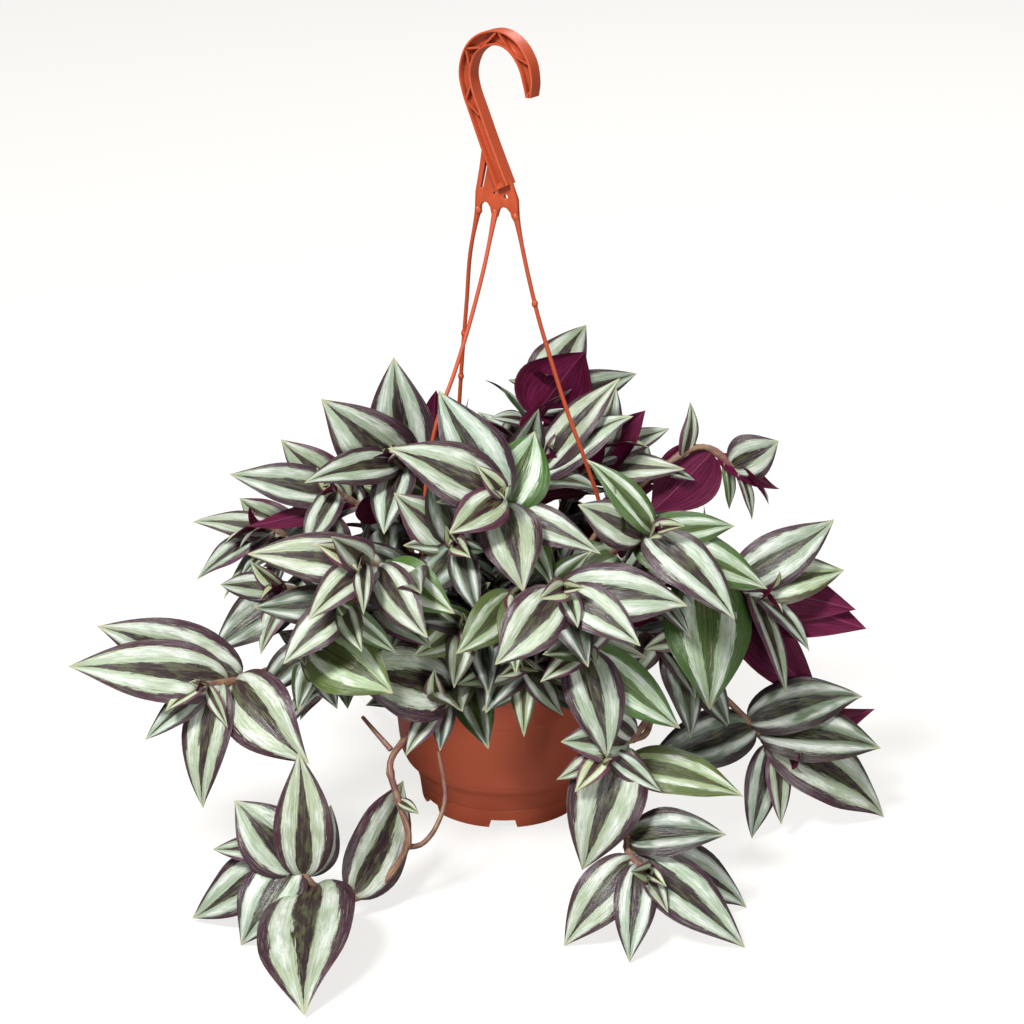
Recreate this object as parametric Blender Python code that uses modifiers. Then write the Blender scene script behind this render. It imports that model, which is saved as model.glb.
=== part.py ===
"""Potted tradescantia: a hanging pot with its one-piece moulded hanger, soil, and leafy stems, some trailing.

Millimetres in the tables, metres in the meshes. +Z is up, -Y is the front, and the pot's axis is the Z axis.
The pot stands on z = 0. Each leafy stem is one body, the stem with its leaves, standing in its own hole.
"""
import math
import random

import bmesh
import bpy
import numpy as np
from mathutils import Matrix, Vector
from mathutils.bvhtree import BVHTree

MM = 0.001
WELD = 0.000005  # points closer than this, in metres, are one

# Pot: outer radius and height, from the lip down to the foot.
POT_OUTER = [(69.6, 100.0), (71.0, 99.2), (71.0, 96.0), (69.6, 95.2), (68.8, 76.0), (67.6, 74.6),
             (64.8, 44.0), (63.4, 34.0), (61.2, 29.2), (55.8, 24.0), (54.8, 21.6), (52.5, 13.0),
             (51.9, 12.5), (52.3, 12.0), (50.8, 0.0)]
POT_INNER = [(48.4, 0.0), (49.2, 6.5), (0.0, 6.5), (0.0, 8.2), (50.4, 8.2), (53.4, 24.8), (60.6, 32.0),
             (66.0, 74.8), (67.6, 99.4)]
POT_STEPS = 36
NOTCHES, NOTCH_WIDTH, NOTCH_TOP, NOTCH_HEIGHT = 6, 18.0, 14.5, 5.5
DRAINS, DRAIN_RADIUS, DRAIN_RING = 4, 4.0, 30.0

# Soil: top surface and wall, 0.3 mm inside the pot.
SOIL = [(0.0, 90.0), (54.0, 88.0), (66.2, 86.0), (65.5, 74.9), (60.2, 32.3), (53.0, 25.2), (50.0, 8.6),
        (0.0, 8.6)]
SOIL_STEPS = 20
SOIL_TOP, SOIL_REACH = 90.0, 54.0  # height of the middle, and how far out stems stand
HOLE_RADIUS, HOLE_DEPTH = 2.45, 12.0

# Hanger: the hook's centre line and half width in the hook's own plane, from its tip to the foot of its shank.
HOOK = [(20.4, 442.0, 1.8), (19.9, 450.0, 3.3), (17.0, 460.5, 4.1), (9.8, 469.4, 4.3), (0.0, 473.2, 4.3),
        (-11.2, 470.6, 4.3), (-19.5, 463.5, 4.2), (-23.3, 452.0, 4.1), (-21.5, 441.0, 4.0),
        (-16.0, 428.0, 4.1), (-9.0, 412.0, 4.2), (-2.0, 397.0, 4.3), (2.4, 388.0, 4.3)]
HOOK_THICK, HOOK_WEB, HOOK_RIM = 9.0, 1.8, 1.3
RIB_WIDTH = 1.3
HOOK_TURN = math.radians(-35)
RIBS = [((-1.0, 477.0), (-11.5, 466.6)), ((-1.0, 477.0), (8.4, 465.4)), ((8.4, 465.4), (20.6, 460.6)),
        ((-11.5, 466.6), (-23.0, 464.6)), ((-23.0, 464.6), (-19.4, 452.0)),
        ((-19.0, 446.0), (-23.3, 434.6)), ((-23.3, 434.6), (-12.4, 427.0))]
PLATE = [(-13.0, 413.0), (-15.6, 396.0), (-18.4, 382.0), (-18.9, 370.5), (-15.4, 370.5), (-14.9, 374.4),
         (-13.0, 376.8), (-10.2, 376.8), (-8.0, 374.2), (-7.2, 370.5), (-3.0, 370.5), (-2.0, 373.6),
         (0.4, 375.6), (3.4, 375.4), (6.0, 373.2), (7.2, 370.0), (11.4, 370.0), (10.8, 381.0), (7.0, 390.0),
         (2.0, 396.0)]
PLATE_THICK = 2.6
PLATE_SLOT = [(-10.8, 402.0), (-9.2, 401.0), (-13.0, 384.5), (-14.8, 385.0)]
PLATE_HOLES = [(-4.7, 383.0, 1.0), (3.0, 382.0, 1.5)]
STRAND_RADIUS, BEAD_RADIUS, KNUCKLE_RADIUS = 1.25, 2.0, 2.3
STRANDS = [
    [(-17.0, 0.0, 372.0), (-17.0, 10.0, 366.0), (-21.0, 20.0, 316.0), (-25.0, 30.0, 266.0),
     (-28.0, 40.0, 215.0), (-30.0, 52.0, 160.0), (-29.6, 63.4, 101.0)],
    [(-5.0, 0.0, 372.0), (-5.0, -1.0, 364.0), (-19.0, -17.0, 311.0), (-28.0, -28.0, 284.0),
     (-40.0, -43.0, 250.0), (-46.0, -52.0, 190.0), (-40.2, -57.4, 101.0)],
    [(9.4, 0.0, 372.0), (9.6, -6.0, 362.0), (20.0, -7.0, 314.0), (40.0, -7.0, 247.0), (57.0, -7.0, 198.0),
     (64.0, -7.0, 150.0), (69.8, -6.1, 101.0)],
]
BEADS = [(0, 0.3), (0, 0.4), (2, 0.2)]
CLIP_WIDTH, CLIP_LOW, CLIP_HIGH = 10.0, 89.6, 103.0
CLIP_IN, CLIP_OUT, CLIP_GROOVE, CLIP_GROOVE_TOP = 64.4, 73.6, (66.6, 71.6), 100.5

# ---- the leafy stems: layout ----
# The pot's outline with some room round it, which leaves keep out of.
POT_ROOM = [(66.6, 87.0), (66.8, 100.4), (71.3, 100.4), (71.3, 95.0), (69.2, 74.6), (65.3, 44.0),
            (63.8, 32.0), (56.4, 24.0), (53.0, 12.0), (51.4, 0.0)]
STEM_RADIUS, SPUR_RADIUS = 1.7, 1.3
STEM_ROOM = 3.9  # between the centre lines of two stems
ROOT_PLACES, ROOT_GAP = 64, 6.5
ROOT_RISE = 1.5  # height above the soil at which a stem starts to lean
GOLDEN = math.radians(137.508)
BLADE = 1.3  # thickness of a blade at its midrib
SECTIONS = (0.0, 0.16, 0.4, 0.7, 1.0)
FEW_SECTIONS = (0.0, 0.22, 0.58, 1.0)
LONG_BLADE = 66.0
CLEAR = 0.55  # room kept around a blade
FLOOR = 0.6  # lowest height of a blade with its room
OLD_STEP, RULE_STEP = 5.0, 8.0  # from one leaf to the next along a stem
FORTH, RISE = np.array([0, 0.927, -0.375]), np.array([0, 0.375, 0.927])  # away from the front view, up in it

# Shoots placed one by one. tip is the growing point, face the way its leaves turn their upper side, and each
# leaf is the offset of its point from the growing point, then its width over its length, then a letter for its
# tone: s silver, g green, l lime, d dark, p purple, y cream, u turned over so that its purple underside shows.
# A leaf may end with a facing of its own. A path is the stem's line from the soil on, and along names leaves
# part of the way up the stem, each with its place (0 to 1) first. spurs are bare side stems.
SHOOTS = [
    dict(name="crown_front", tip=(0, -95, 235), face=(0, -0.65, 0.75), leaves=[
        (30, -20, -45, 0.4, "g"), (55, -10, -30, 0.4, "s"), (20, 35, 25, 0.78, "g", (0.1, -0.95, 0.3)),
        (12, -38, -41, 0.6, "s"), (-37, 18, 55, 0.54, "s"), (-61, 5, 29, 0.52, "s"),
        (-28, -32, -10, 0.6, "p")]),
    dict(name="front_left", tip=(-77, -115, 203), face=(-0.25, -0.75, 0.6), leaves=[
        (50, -10, -25, 0.56, "g"), (-65, 5, 5, 0.4, "s"), (35, -35, -30, 0.44, "s"),
        (-30, -30, -20, 0.5, "s"), (-15, -22, 25, 0.5, "p"), (2, -30, -16, 0.35, "s")]),
    dict(name="centre_right", tip=(34, -135, 195), face=(0.1, -0.75, 0.65), leaves=[
        (68, 0, -5, 0.5, "s"), (-36, -25, -34, 0.6, "s"), (42, -25, -20, 0.5, "s"),
        (8, -22, -12, 0.5, "p")]),
    dict(name="right_front", tip=(86, -80, 207), face=(0.3, -0.7, 0.65), leaves=[
        (67, 0, -32, 0.48, "g"), (48, 25, -5, 0.42, "g"), (-42, 0, 18, 0.64, "s", (-0.1, -0.9, 0.4)),
        (46, -35, -37, 0.52, "s"), (-37, 20, 38, 0.38, "g")]),
    dict(name="trail_left", tip=(-169, -110, 125), face=(-0.3, -0.7, 0.65), leaves=[
        (-61, 15, 33, 0.44, "s"), (57, -35, -32, 0.6, "s"), (-75, -10, 18, 0.42, "s"),
        (-5, -25, -65, 0.42, "s"), (-34, -20, -25, 0.36, "s"), (14, -12, -20, 0.35, "p")],
        path=[(-40, -16, 120), (-88, -36, 124), (-140, -82, 119)], root=(-28, -8)),
    dict(name="trail_front", tip=(-124, -150, 42), face=(-0.3, -0.6, 0.75), leaves=[
        (13, 15, 55, 0.48, "s"), (-27, 6, 28, 0.72, "s"), (-22, -44, -39, 0.66, "s"),
        (-52, -15, -39, 0.5, "s"), (-39, -10, 4, 0.45, "p")],
        path=[(-23, -58, 106), (-30, -82, 103), (-46, -97, 92), (-64, -114, 85), (-63, -126, 77),
              (-58, -136, 59), (-54, -142, 40), (-67, -146, 19), (-84, -158, 13), (-98, -164, 20),
              (-109, -167, 30)], root=(-18, -44),
        spurs=[[(-55, -142, 38), (-46, -138, 38), (-38, -132, 46), (-33, -121, 60), (-37, -108, 82)],
                [(-64, -114, 86), (-73, -106, 93), (-81, -98, 99)]],
        along=[(0.885, (-2, -97, -18), 0.6, "s"), (0.925, (17, 14, 36), 0.66, "s", (0.3, -0.9, 0.3)),
                (0.795, (30, 60, 43), 0.52, "s", (0.5, -0.75, 0.4)), (0.52, (12, -10, -2), 0.5, "y")]),
    dict(name="front_right", tip=(46, -130, 156), face=(0.2, -0.8, 0.55), leaves=[
        (54, -5, -47, 0.42, "g"), (15, -25, -53, 0.55, "s"), (-24, -25, -6, 0.4, "p"),
        (20, 10, 24, 0.45, "s")]),
    dict(name="front_right_low", tip=(59, -140, 97), face=(0.1, -0.85, 0.5), leaves=[
        (-10, 0, 33, 0.45, "s"), (-26, -15, 16, 0.56, "p"), (-14, -25, -61, 0.6, "s"),
        (-28, -15, -9, 0.4, "p"), (30, -12, -18, 0.4, "s")],
        path=[(46, -50, 110), (74, -88, 112), (82, -116, 104)], root=(34, -34)),
    dict(name="trail_right", tip=(80, -172, 40), face=(0.1, -0.62, 0.78), leaves=[
        (45, 10, 19, 0.54, "d"), (63, 26, -36, 0.4, "s"), (56, -21, -38, 0.42, "s"),
        (-47, -16, -38, 0.5, "s"), (-11, -31, -38, 0.46, "s"), (12, -15, -17, 0.5, "s")],
        path=[(58, -46, 107), (80, -70, 102), (86, -90, 87), (68, -106, 84), (72, -118, 69), (73, -134, 58),
              (71, -158, 44)], root=(42, -20),
        along=[(0.66, (68, -16, -9), 0.45, "l")]),
    dict(name="right_low", tip=(168, -45, 45), face=(0.3, -0.6, 0.75), leaves=[
        (49, 16, 38, 0.48, "d"), (-85, -22, 5, 0.5, "d"), (60, -2, 10, 0.52, "d"), (72, 2, -42, 0.46, "s"),
        (-20, -24, -42, 0.42, "s"), (-2, -25, -32, 0.4, "p"), (12, -10, -14, 0.4, "y")],
        path=[(62, -22, 114), (96, -32, 110), (136, -40, 80)], root=(44, -6),
        along=[(0.95, (64, 24, 14), 0.34, "u")]),
    dict(name="right_mid", tip=(152, -28, 144), face=(0.6, -0.45, 0.65), leaves=[
        (-30, -40, -54, 0.64, "g", (0.1, -0.9, 0.4)), (66, 6, -24, 0.46, "u", (0.2, -0.9, 0.4)),
        (40, -4, -74, 0.36, "u", (0.3, -0.9, 0.3)), (59, 12, -13, 0.44, "u", (0.1, -0.8, 0.5)),
        (47, 15, 41, 0.46, "s"), (53, 0, 16, 0.5, "y"), (17, -32, -49, 0.32, "p"),
        (32, -20, -25, 0.4, "s")],
        path=[(66, 4, 134), (112, -10, 154)], root=(38, 2)),
    dict(name="right_small", tip=(112, -42, 125), face=(0.2, -0.7, 0.6), leaves=[
        (26, -4, -59, 0.42, "d"), (1, -6, -62, 0.46, "d"), (3, 4, 22, 0.9, "d", (0.1, -0.95, 0.3)),
        (7, -22, -14, 0.5, "p"), (-29, -22, 1, 0.42, "p")]),
    dict(name="right_high", tip=(144, 40, 198), face=(0.5, -0.5, 0.7), leaves=[
        (25, 0, -14, 0.4, "u"), (-5, -5, -24, 0.4, "g"), (24, -4, 20, 0.9, "s", (0.3, -0.9, 0.3)),
        (9, -15, -26, 0.34, "p")],
        path=[(52, 18, 158), (94, 34, 200), (124, 40, 214)], root=(26, 10),
        along=[(0.9, (-36, -10, -36), 0.78, "u", (0.1, -0.95, 0.3)), (0.72, (22, -2, -6), 0.4, "s"),
               (0.8, (6, 4, 34), 0.4, "p")]),
    dict(name="crown_left", tip=(-65, -30, 232), face=(-0.3, -0.6, 0.75), leaves=[
        (35, 20, 12, 0.45, "s"), (1, 12, 58, 0.56, "s"), (-37, -8, 40, 0.62, "s"), (-4, -42, -29, 0.5, "s"),
        (-47, -36, 3, 0.36, "s"), (8, -22, 16, 0.4, "p")]),
    dict(name="left_high", tip=(-99, -20, 208), face=(-0.5, -0.5, 0.7), leaves=[
        (-20, 40, 12, 0.45, "s"), (-52, -12, -19, 0.3, "u"), (-33, 14, 27, 0.52, "p"),
        (-62, 0, 11, 0.4, "s"), (-16, -26, -26, 0.5, "s")]),
    dict(name="left_far", tip=(-142, -10, 181), face=(-0.7, -0.4, 0.6), leaves=[
        (-20, 36, 4, 0.45, "p"), (6, -30, -30, 0.45, "d"), (-26, -22, -35, 0.42, "p"),
        (-43, 0, 6, 0.38, "s"), (-42, -10, -28, 0.46, "p"), (-12, -26, 0, 0.4, "p")]),
    dict(name="crown_back", tip=(23, 60, 242), face=(0.1, -0.45, 0.9), leaves=[
        (-30, -20, -8, 0.46, "s"), (26, -12, 32, 0.86, "u", (0.1, -0.95, 0.3)), (64, 0, 14, 0.4, "s"),
        (28, 20, 38, 0.62, "s"), (-20, 14, 4, 0.5, "p")]),
    dict(name="crown_right", tip=(27, 20, 211), face=(0.3, -0.55, 0.75), leaves=[
        (30, -28, -4, 0.45, "d"), (48, 0, 34, 0.42, "s"), (43, 12, 50, 0.42, "s"),
        (-24, -22, 8, 0.42, "d")]),
    dict(name="crown_far_right", tip=(62, 44, 210), face=(0.4, -0.4, 0.8), leaves=[
        (48, -6, -10, 0.45, "s"), (25, 4, 25, 0.6, "u"), (41, 12, 10, 0.4, "s"), (8, 24, 32, 0.45, "s"),
        (20, -20, -24, 0.5, "u")]),
    dict(name="front_crown_low", tip=(-26, -82, 200), face=(-0.3, -0.8, 0.5), leaves=[
        (-36, 12, 26, 0.58, "p"), (-15, 12, 42, 0.5, "d"), (-26, -20, -26, 0.62, "d"),
        (12, -22, -32, 0.46, "d"), (16, -20, 4, 0.4, "d")]),
    dict(name="front_left_low", tip=(-93, -110, 176), face=(-0.3, -0.85, 0.4), leaves=[
        (-48, 6, -6, 0.42, "d"), (-30, -20, -27, 0.5, "s"), (15, -24, -18, 0.5, "y"),
        (34, -16, -24, 0.4, "g")]),
    dict(name="left_green", tip=(-112, -96, 146), face=(0.0, -0.8, 0.6), leaves=[
        (-30, 0, -34, 0.45, "d"), (50, -34, -14, 0.7, "l"), (18, -18, -34, 0.45, "d")]),
    dict(name="left_olive", tip=(-128, -52, 160), face=(-0.5, -0.7, 0.5), leaves=[
        (-43, -16, -32, 0.56, "d"), (-14, -26, -30, 0.45, "p"), (-40, 14, -4, 0.42, "s")]),
    dict(name="front_dark", tip=(-35, -92, 106), face=(-0.1, -0.75, 0.65), leaves=[
        (-57, -34, 36, 0.6, "s"), (-1, -16, -24, 0.45, "d"), (-22, -14, -26, 0.4, "p")]),
    dict(name="centre_low", tip=(8, -108, 180), face=(0, -0.85, 0.45), leaves=[
        (26, -14, -22, 0.42, "d"), (-32, -26, -24, 0.52, "l"), (-2, -26, -36, 0.46, "l"),
        (18, -24, 6, 0.36, "s")]),
    dict(name="centre_low_left", tip=(-20, -100, 158), face=(-0.2, -0.9, 0.35), leaves=[
        (-30, -14, -14, 0.56, "l"), (-20, 2, 14, 0.5, "g"), (-8, -18, -30, 0.5, "y")]),
    dict(name="centre_hang", tip=(12, -98, 134), face=(0, -0.9, 0.35), leaves=[
        (-22, -12, -26, 0.62, "y"), (0, -14, -40, 0.36, "y"), (22, -14, -28, 0.42, "s"),
        (-38, -6, -12, 0.42, "y")]),
]

# Shoots set by rule around the rest of the clump: (how many, first bearing, last bearing, reach from the axis,
# height, leaves, their length). Bearings in degrees from +X towards +Y. TRAILS: (bearing, reach, height of the
# growing point, leaves, their length).
TIERS = [
    (2, 50, 140, 42, 214, 5, 60),
    (4, 22, 162, 102, 188, 4, 62),
    (5, 8, 172, 134, 142, 4, 62),
    (2, 62, 118, 116, 98, 4, 56),
    (1, 170, 196, 100, 150, 4, 52),
    (3, 222, 312, 62, 156, 5, 46),
    (2, 332, 352, 108, 165, 4, 50),
    (1, 186, 216, 116, 112, 4, 50),
]
TRAILS = [(98, 220, 15, 5, 56), (66, 202, 24, 4, 54), (124, 208, 22, 4, 54)]


def unit(v):
    v = np.asarray(v, float)
    return v / max(float(np.linalg.norm(v)), 1e-9)


def smooth_path(points, count):
    """Evenly spaced points on the Catmull-Rom curve through the given points."""
    p = np.asarray(points, float)
    p = np.vstack([2 * p[0] - p[1], p, 2 * p[-1] - p[-2]])
    t = np.linspace(0, 1, 12, endpoint=False)[:, None]
    runs = [0.5 * (2 * b + (c - a) * t + (2 * a - 5 * b + 4 * c - d) * t**2 + (3 * b - a - 3 * c + d) * t**3)
            for a, b, c, d in zip(p[:-3], p[1:-2], p[2:-1], p[3:])]
    line = np.vstack(runs + [p[-2:-1]])
    gone = np.concatenate([[0], np.cumsum(np.linalg.norm(np.diff(line, axis=0), axis=1))])
    at = np.linspace(0, gone[-1], count)
    return np.column_stack([np.interp(at, gone, line[:, k]) for k in range(3)])


def half_width(u):
    """A blade's half width at u over its greatest: a rounded base, widest at 0.38, a drawn-out point."""
    u = np.clip(u, 0, 1)
    body = np.sin(np.pi * u**0.72) ** (0.6 + 0.4 * u)
    return np.maximum(body, 0.05 * (1 - u) ** 2)


def blade_surface(leaf, us, vs):
    """Points and upward normals of a blade's middle surface, over us along it and vs (-1 to 1) across it.

    The midrib runs base + chord u + up bow length f(u), f(u) = u^0.8 (1-u)^1.2 scaled to 1. The blade turns
    about it by twist u. Across, a half width w stands up from the midrib by w (fold |v| - curl v^2).
    """
    us, vs = np.asarray(us, float), np.asarray(vs, float)
    base, chord, up = leaf["base"], leaf["chord"], leaf["up"]
    length = np.linalg.norm(chord)
    f = us**0.8 * (1 - us) ** 1.2 / 0.5101
    spine = base + chord * us[:, None] + up * (leaf["bow"] * length * f)[:, None]
    along = np.gradient(spine, axis=0)
    along /= np.linalg.norm(along, axis=1)[:, None]
    side = unit(np.cross(chord, up))
    turn = leaf["twist"] * us
    lift = np.cross(side, along)
    lift /= np.linalg.norm(lift, axis=1)[:, None]
    across = side * np.cos(turn)[:, None] + lift * np.sin(turn)[:, None]
    normal = np.cross(across, along)
    w = leaf["wide"] * half_width(us)
    rise = w[:, None] * (leaf["fold"] * np.abs(vs) - leaf["curl"] * vs**2)[None, :]
    points = spine[:, None] + across[:, None] * (w[:, None] * vs)[..., None]
    points = points + normal[:, None] * rise[..., None]
    return points, np.broadcast_to(normal[:, None], points.shape)


def blade_mesh(leaf, thick=BLADE):
    """Vertices and faces of a blade: a lens at each section, closed at the base, a point at the end."""
    sections = leaf["sections"]
    points, normal = blade_surface(leaf, sections, (-1.0, 0.0, 1.0))
    half = 0.5 * thick
    verts = []
    for i in range(len(sections) - 1):
        left, mid, right = points[i]
        n = normal[i, 1]
        verts += [left, mid + n * half, right, mid - n * half]
    verts.append(points[-1, 1])
    faces = [(0, 1, 3), (1, 2, 3)]
    rings = len(sections) - 1
    for i in range(rings - 1):
        for j in range(4):
            a, b = 4 * i + j, 4 * i + (j + 1) % 4
            faces += [(a, a + 4, b + 4), (a, b + 4, b)] if j in (0, 2) else [(a, a + 4, b),
                                                                (b, a + 4, b + 4)]
    for j in range(4):
        faces.append((4 * rings - 4 + j, 4 * rings, 4 * rings - 4 + (j + 1) % 4))
    return np.array(verts), faces


# ---- the leafy stems: lines and blades ----
class Taken:
    """What is in place so far. Each entry has a box, a search tree and the name of its body."""

    def __init__(self):
        self.low, self.high, self.trees, self.owners, self.outer = [], [], [], [], []

    def add(self, verts, faces, owner, outer=None):
        self.low.append(verts.min(axis=0))
        self.high.append(verts.max(axis=0))
        self.trees.append(BVHTree.FromPolygons(verts.tolist(), faces))
        self.owners.append(owner)
        self.outer.append(outer)

    def meets(self, verts, faces, owner, outer_faces=None):
        """True where the mesh crosses another body, or its outer part crosses its own body's outer parts."""
        low, high = verts.min(axis=0), verts.max(axis=0)
        beside = (np.array(self.low) < high) & (np.array(self.high) > low)
        near = np.flatnonzero(beside.all(axis=1))
        if not len(near):
            return False
        tree = BVHTree.FromPolygons(verts.tolist(), faces)
        outer_tree = None
        for i in near:
            if self.owners[i] != owner:
                if tree.overlap(self.trees[i]):
                    return True
            elif outer_faces is not None and self.outer[i] is not None:
                if outer_tree is None:
                    outer_tree = BVHTree.FromPolygons(verts.tolist(), outer_faces)
                if outer_tree.overlap(self.outer[i]):
                    return True
        return False


def outer_faces_of(faces):
    """The faces of a blade beyond its first section."""
    return [f for f in faces if min(f) >= 4]


def tube_mesh(line, radius, sides=6):
    """A closed tube with a flat end at each end, for the search tree."""
    line = np.asarray(line, float)
    along = np.gradient(line, axis=0)
    along /= np.linalg.norm(along, axis=1)[:, None]
    angles = np.arange(sides) * 2 * math.pi / sides
    verts = []
    for p, d in zip(line, along):
        a = unit(np.cross(d, (0.31, 0.95, 0.02) if abs(d[2]) > 0.5 else (0.05, 0.02, 1.0)))
        b = np.cross(d, a)
        verts += [p + radius * (a * math.cos(t) + b * math.sin(t)) for t in angles]
    faces = []
    for i in range(len(line) - 1):
        for j in range(sides):
            a, b = sides * i + j, sides * i + (j + 1) % sides
            faces.append((a, b, b + sides, a + sides))
    return np.array(verts), faces


def guards():
    """What leaves keep clear of besides each other: the pot's wall, the strands and clips, the soil."""
    sides, n, room = 28, len(POT_ROOM), 0.3
    angles = np.arange(sides) * 2 * math.pi / sides
    verts = [(r * math.cos(t), r * math.sin(t), z) for t in angles for r, z in POT_ROOM]
    faces = [(i * n + j, i * n + j + 1, (i + 1) % sides * n + j + 1, (i + 1) % sides * n + j)
             for i in range(sides) for j in range(n - 1)]
    found = [(np.array(verts), faces)]
    wide = 0.5 * CLIP_WIDTH + room
    sheets = [(0, 1, 3, 2), (4, 6, 7, 5), (0, 4, 5, 1), (2, 3, 7, 6), (0, 2, 6, 4), (1, 5, 7, 3)]
    for strand in STRANDS:
        found.append(tube_mesh(strand_line(strand), STRAND_RADIUS + room))
        x, y, _ = strand[-1]
        out = unit((x, y, 0))
        across = np.array([-out[1], out[0], 0])
        corners = [out * r + across * w + np.array([0, 0, z]) for r in (CLIP_IN - room, CLIP_OUT + room)
                   for w in (-wide, wide) for z in (CLIP_LOW - room, CLIP_HIGH + room)]
        found.append((np.array(corners), sheets))
    half = 0.7 * SOIL_REACH
    soil = [(x * half, y * half, SOIL_TOP + 1) for x, y in ((-1, -1), (1, -1), (1, 1), (-1, 1))]
    return found, (np.array(soil), [(0, 1, 2, 3)])


def strand_line(strand):
    """A strand's centre line, from the plate to its clip. Its first point is given in the hook's plane."""
    return smooth_path([hook_place(strand[0]), *strand[1:]], 10)


def hook_place(p):
    """A point of the hook's own plane (x across, y through, z up) in the plant's frame."""
    x, y, z = p
    return np.array([x * math.cos(HOOK_TURN) - y * math.sin(HOOK_TURN),
                     x * math.sin(HOOK_TURN) + y * math.cos(HOOK_TURN), z])


def root_places():
    """The holes that stems may stand in, on a sunflower spiral over the soil."""
    reach = [SOIL_REACH * math.sqrt((i + 0.5) / ROOT_PLACES) for i in range(ROOT_PLACES)]
    return [(r * math.cos(i * GOLDEN), r * math.sin(i * GOLDEN)) for i, r in enumerate(reach)]


def curved_line(root, tip, grow, rise, run, count):
    """A cubic that leaves the soil straight up and arrives at the growing point along grow."""
    a = np.array([root[0], root[1], SOIL_TOP + ROOT_RISE])
    reach = np.linalg.norm(tip - a)
    b, c = a + np.array([0, 0, rise * reach]), tip - grow * run * reach
    t = np.linspace(0, 1, count)[:, None]
    line = (1 - t) ** 3 * a + 3 * (1 - t) ** 2 * t * b + 3 * (1 - t) * t**2 * c + t**3 * tip
    return np.vstack([[root[0], root[1], SOIL_TOP - HOLE_DEPTH + 0.5], line])


def dense(line, step=2.0):
    """The line with more points, no two of them much more than step apart."""
    parts = []
    for a, b in zip(line[:-1], line[1:]):
        n = max(1, int(np.linalg.norm(b - a) / step))
        parts.append(a + (b - a) * np.linspace(0, 1, n, endpoint=False)[:, None])
    return np.vstack(parts + [line[-1:]])


def line_clear(line, placed, solids):
    """True where a stem on this line keeps its room from the stems in place and from the pot and hanger."""
    points = dense(line)
    for other in placed:
        gap = np.linalg.norm(points[:, None] - other[None], axis=2)
        if gap.min() < STEM_ROOM:
            return False
    beyond = points[8:]
    return all(tree.find_nearest(Vector(p), STEM_RADIUS + 0.6)[0] is None for tree in solids for p in beyond)


def tier_shoots():
    """The shoots set by rule: rosettes in rings and trailing ones behind, with leaves a golden angle apart."""
    rng = random.Random(11)
    shoots = []
    for number, (count, first, last, reach, height, leaves, length) in enumerate(TIERS):
        for i in range(count):
            bearing = math.radians(first + (last - first) * (i + 0.5) / count + rng.uniform(-4, 4))
            r, h = reach * rng.uniform(0.92, 1.08), height + rng.uniform(-9, 9)
            out = np.array([math.cos(bearing), math.sin(bearing), 0])
            tip = out * r + np.array([0, 0, h])
            face = unit(out * (0.75 if height < 200 else 0.35) + np.array([0, 0, 0.75]))
            shoots.append(dict(name=f"ring_{number + 1}_{i + 1}", tip=tip, face=face, count=leaves,
                               length=length, phase=rng.uniform(0, 2 * math.pi)))
    for i, (bearing, reach, height, leaves, length) in enumerate(TRAILS):
        a = math.radians(bearing)
        out = np.array([math.cos(a), math.sin(a), 0])
        rest = [(60, 106), (74, 104), (86, 84), (94, 52), (112, 22), (150, 10), ((150 + reach) / 2, 10)]
        path = [out * r + np.array([0, 0, h]) for r, h in rest]
        shoots.append(dict(name=f"trail_back_{i + 1}", tip=out * reach + np.array([0, 0, height]),
                           face=unit(out * 0.5 + np.array([0, 0, 0.9])), count=leaves, length=length,
                           path=path, phase=rng.uniform(0, 2 * math.pi), root=tuple(out[:2] * 47)))
    for shoot in shoots:
        shoot["leaves"] = rule_leaves(shoot, rng)
        shoot["rule"] = True
    return shoots


def rule_leaves(shoot, rng):
    """A rosette's leaves, in the form that a shoot's list has. The oldest spread widest and droop."""
    face = shoot["face"]
    e1 = unit(np.cross(face, (0, 0, 1)) if abs(face[2]) < 0.95 else (1, 0, 0))
    e2 = np.cross(face, e1)
    leaves = []
    for k in range(shoot["count"]):
        age = 1 - k / (shoot["count"] - 1)
        spread = math.radians(34 + 50 * age + rng.uniform(-6, 6))
        clock = shoot["phase"] + k * GOLDEN
        way = math.cos(spread) * face + math.sin(spread) * (math.cos(clock) * e1 + math.sin(clock) * e2)
        way = unit(way - np.array([0, 0, 0.3 * age]))
        size = shoot["length"] * (0.58 + 0.42 * age) * rng.uniform(0.92, 1.08)
        floor = 2 - shoot["tip"][2]
        way = way * size
        way[2] = max(way[2], floor)
        tone = rng.choices("sgdpyu", (60, 12, 8, 10, 4, 6))[0]
        leaves.append((way[0], way[1], way[2], rng.uniform(0.42, 0.52), tone))
    return leaves


def turned(v, axis, angle):
    """v turned about a unit axis (Rodrigues)."""
    c, s = math.cos(angle), math.sin(angle)
    return v * c + np.cross(axis, v) * s + axis * np.dot(axis, v) * (1 - c)


def make_leaf(base, chord, face, ratio, tone, rng):
    """One blade's sizes. A turned-over one has its upper side away from face."""
    up = unit(face - chord * np.dot(face, chord) / np.dot(chord, chord))
    if tone == "u":
        up = -up
    bow = (0.11 if tone != "u" else -0.06) + rng.uniform(-0.03, 0.04)
    twist = rng.uniform(-0.25, 0.25)
    fold = 0.34 + rng.uniform(-0.06, 0.1)
    return dict(base=base, chord=chord, up=up, wide=0.5 * ratio * np.linalg.norm(chord), tone=tone, bow=bow,
                twist=twist, fold=fold, curl=0.26, seed=rng.random(), sections=SECTIONS)


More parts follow.
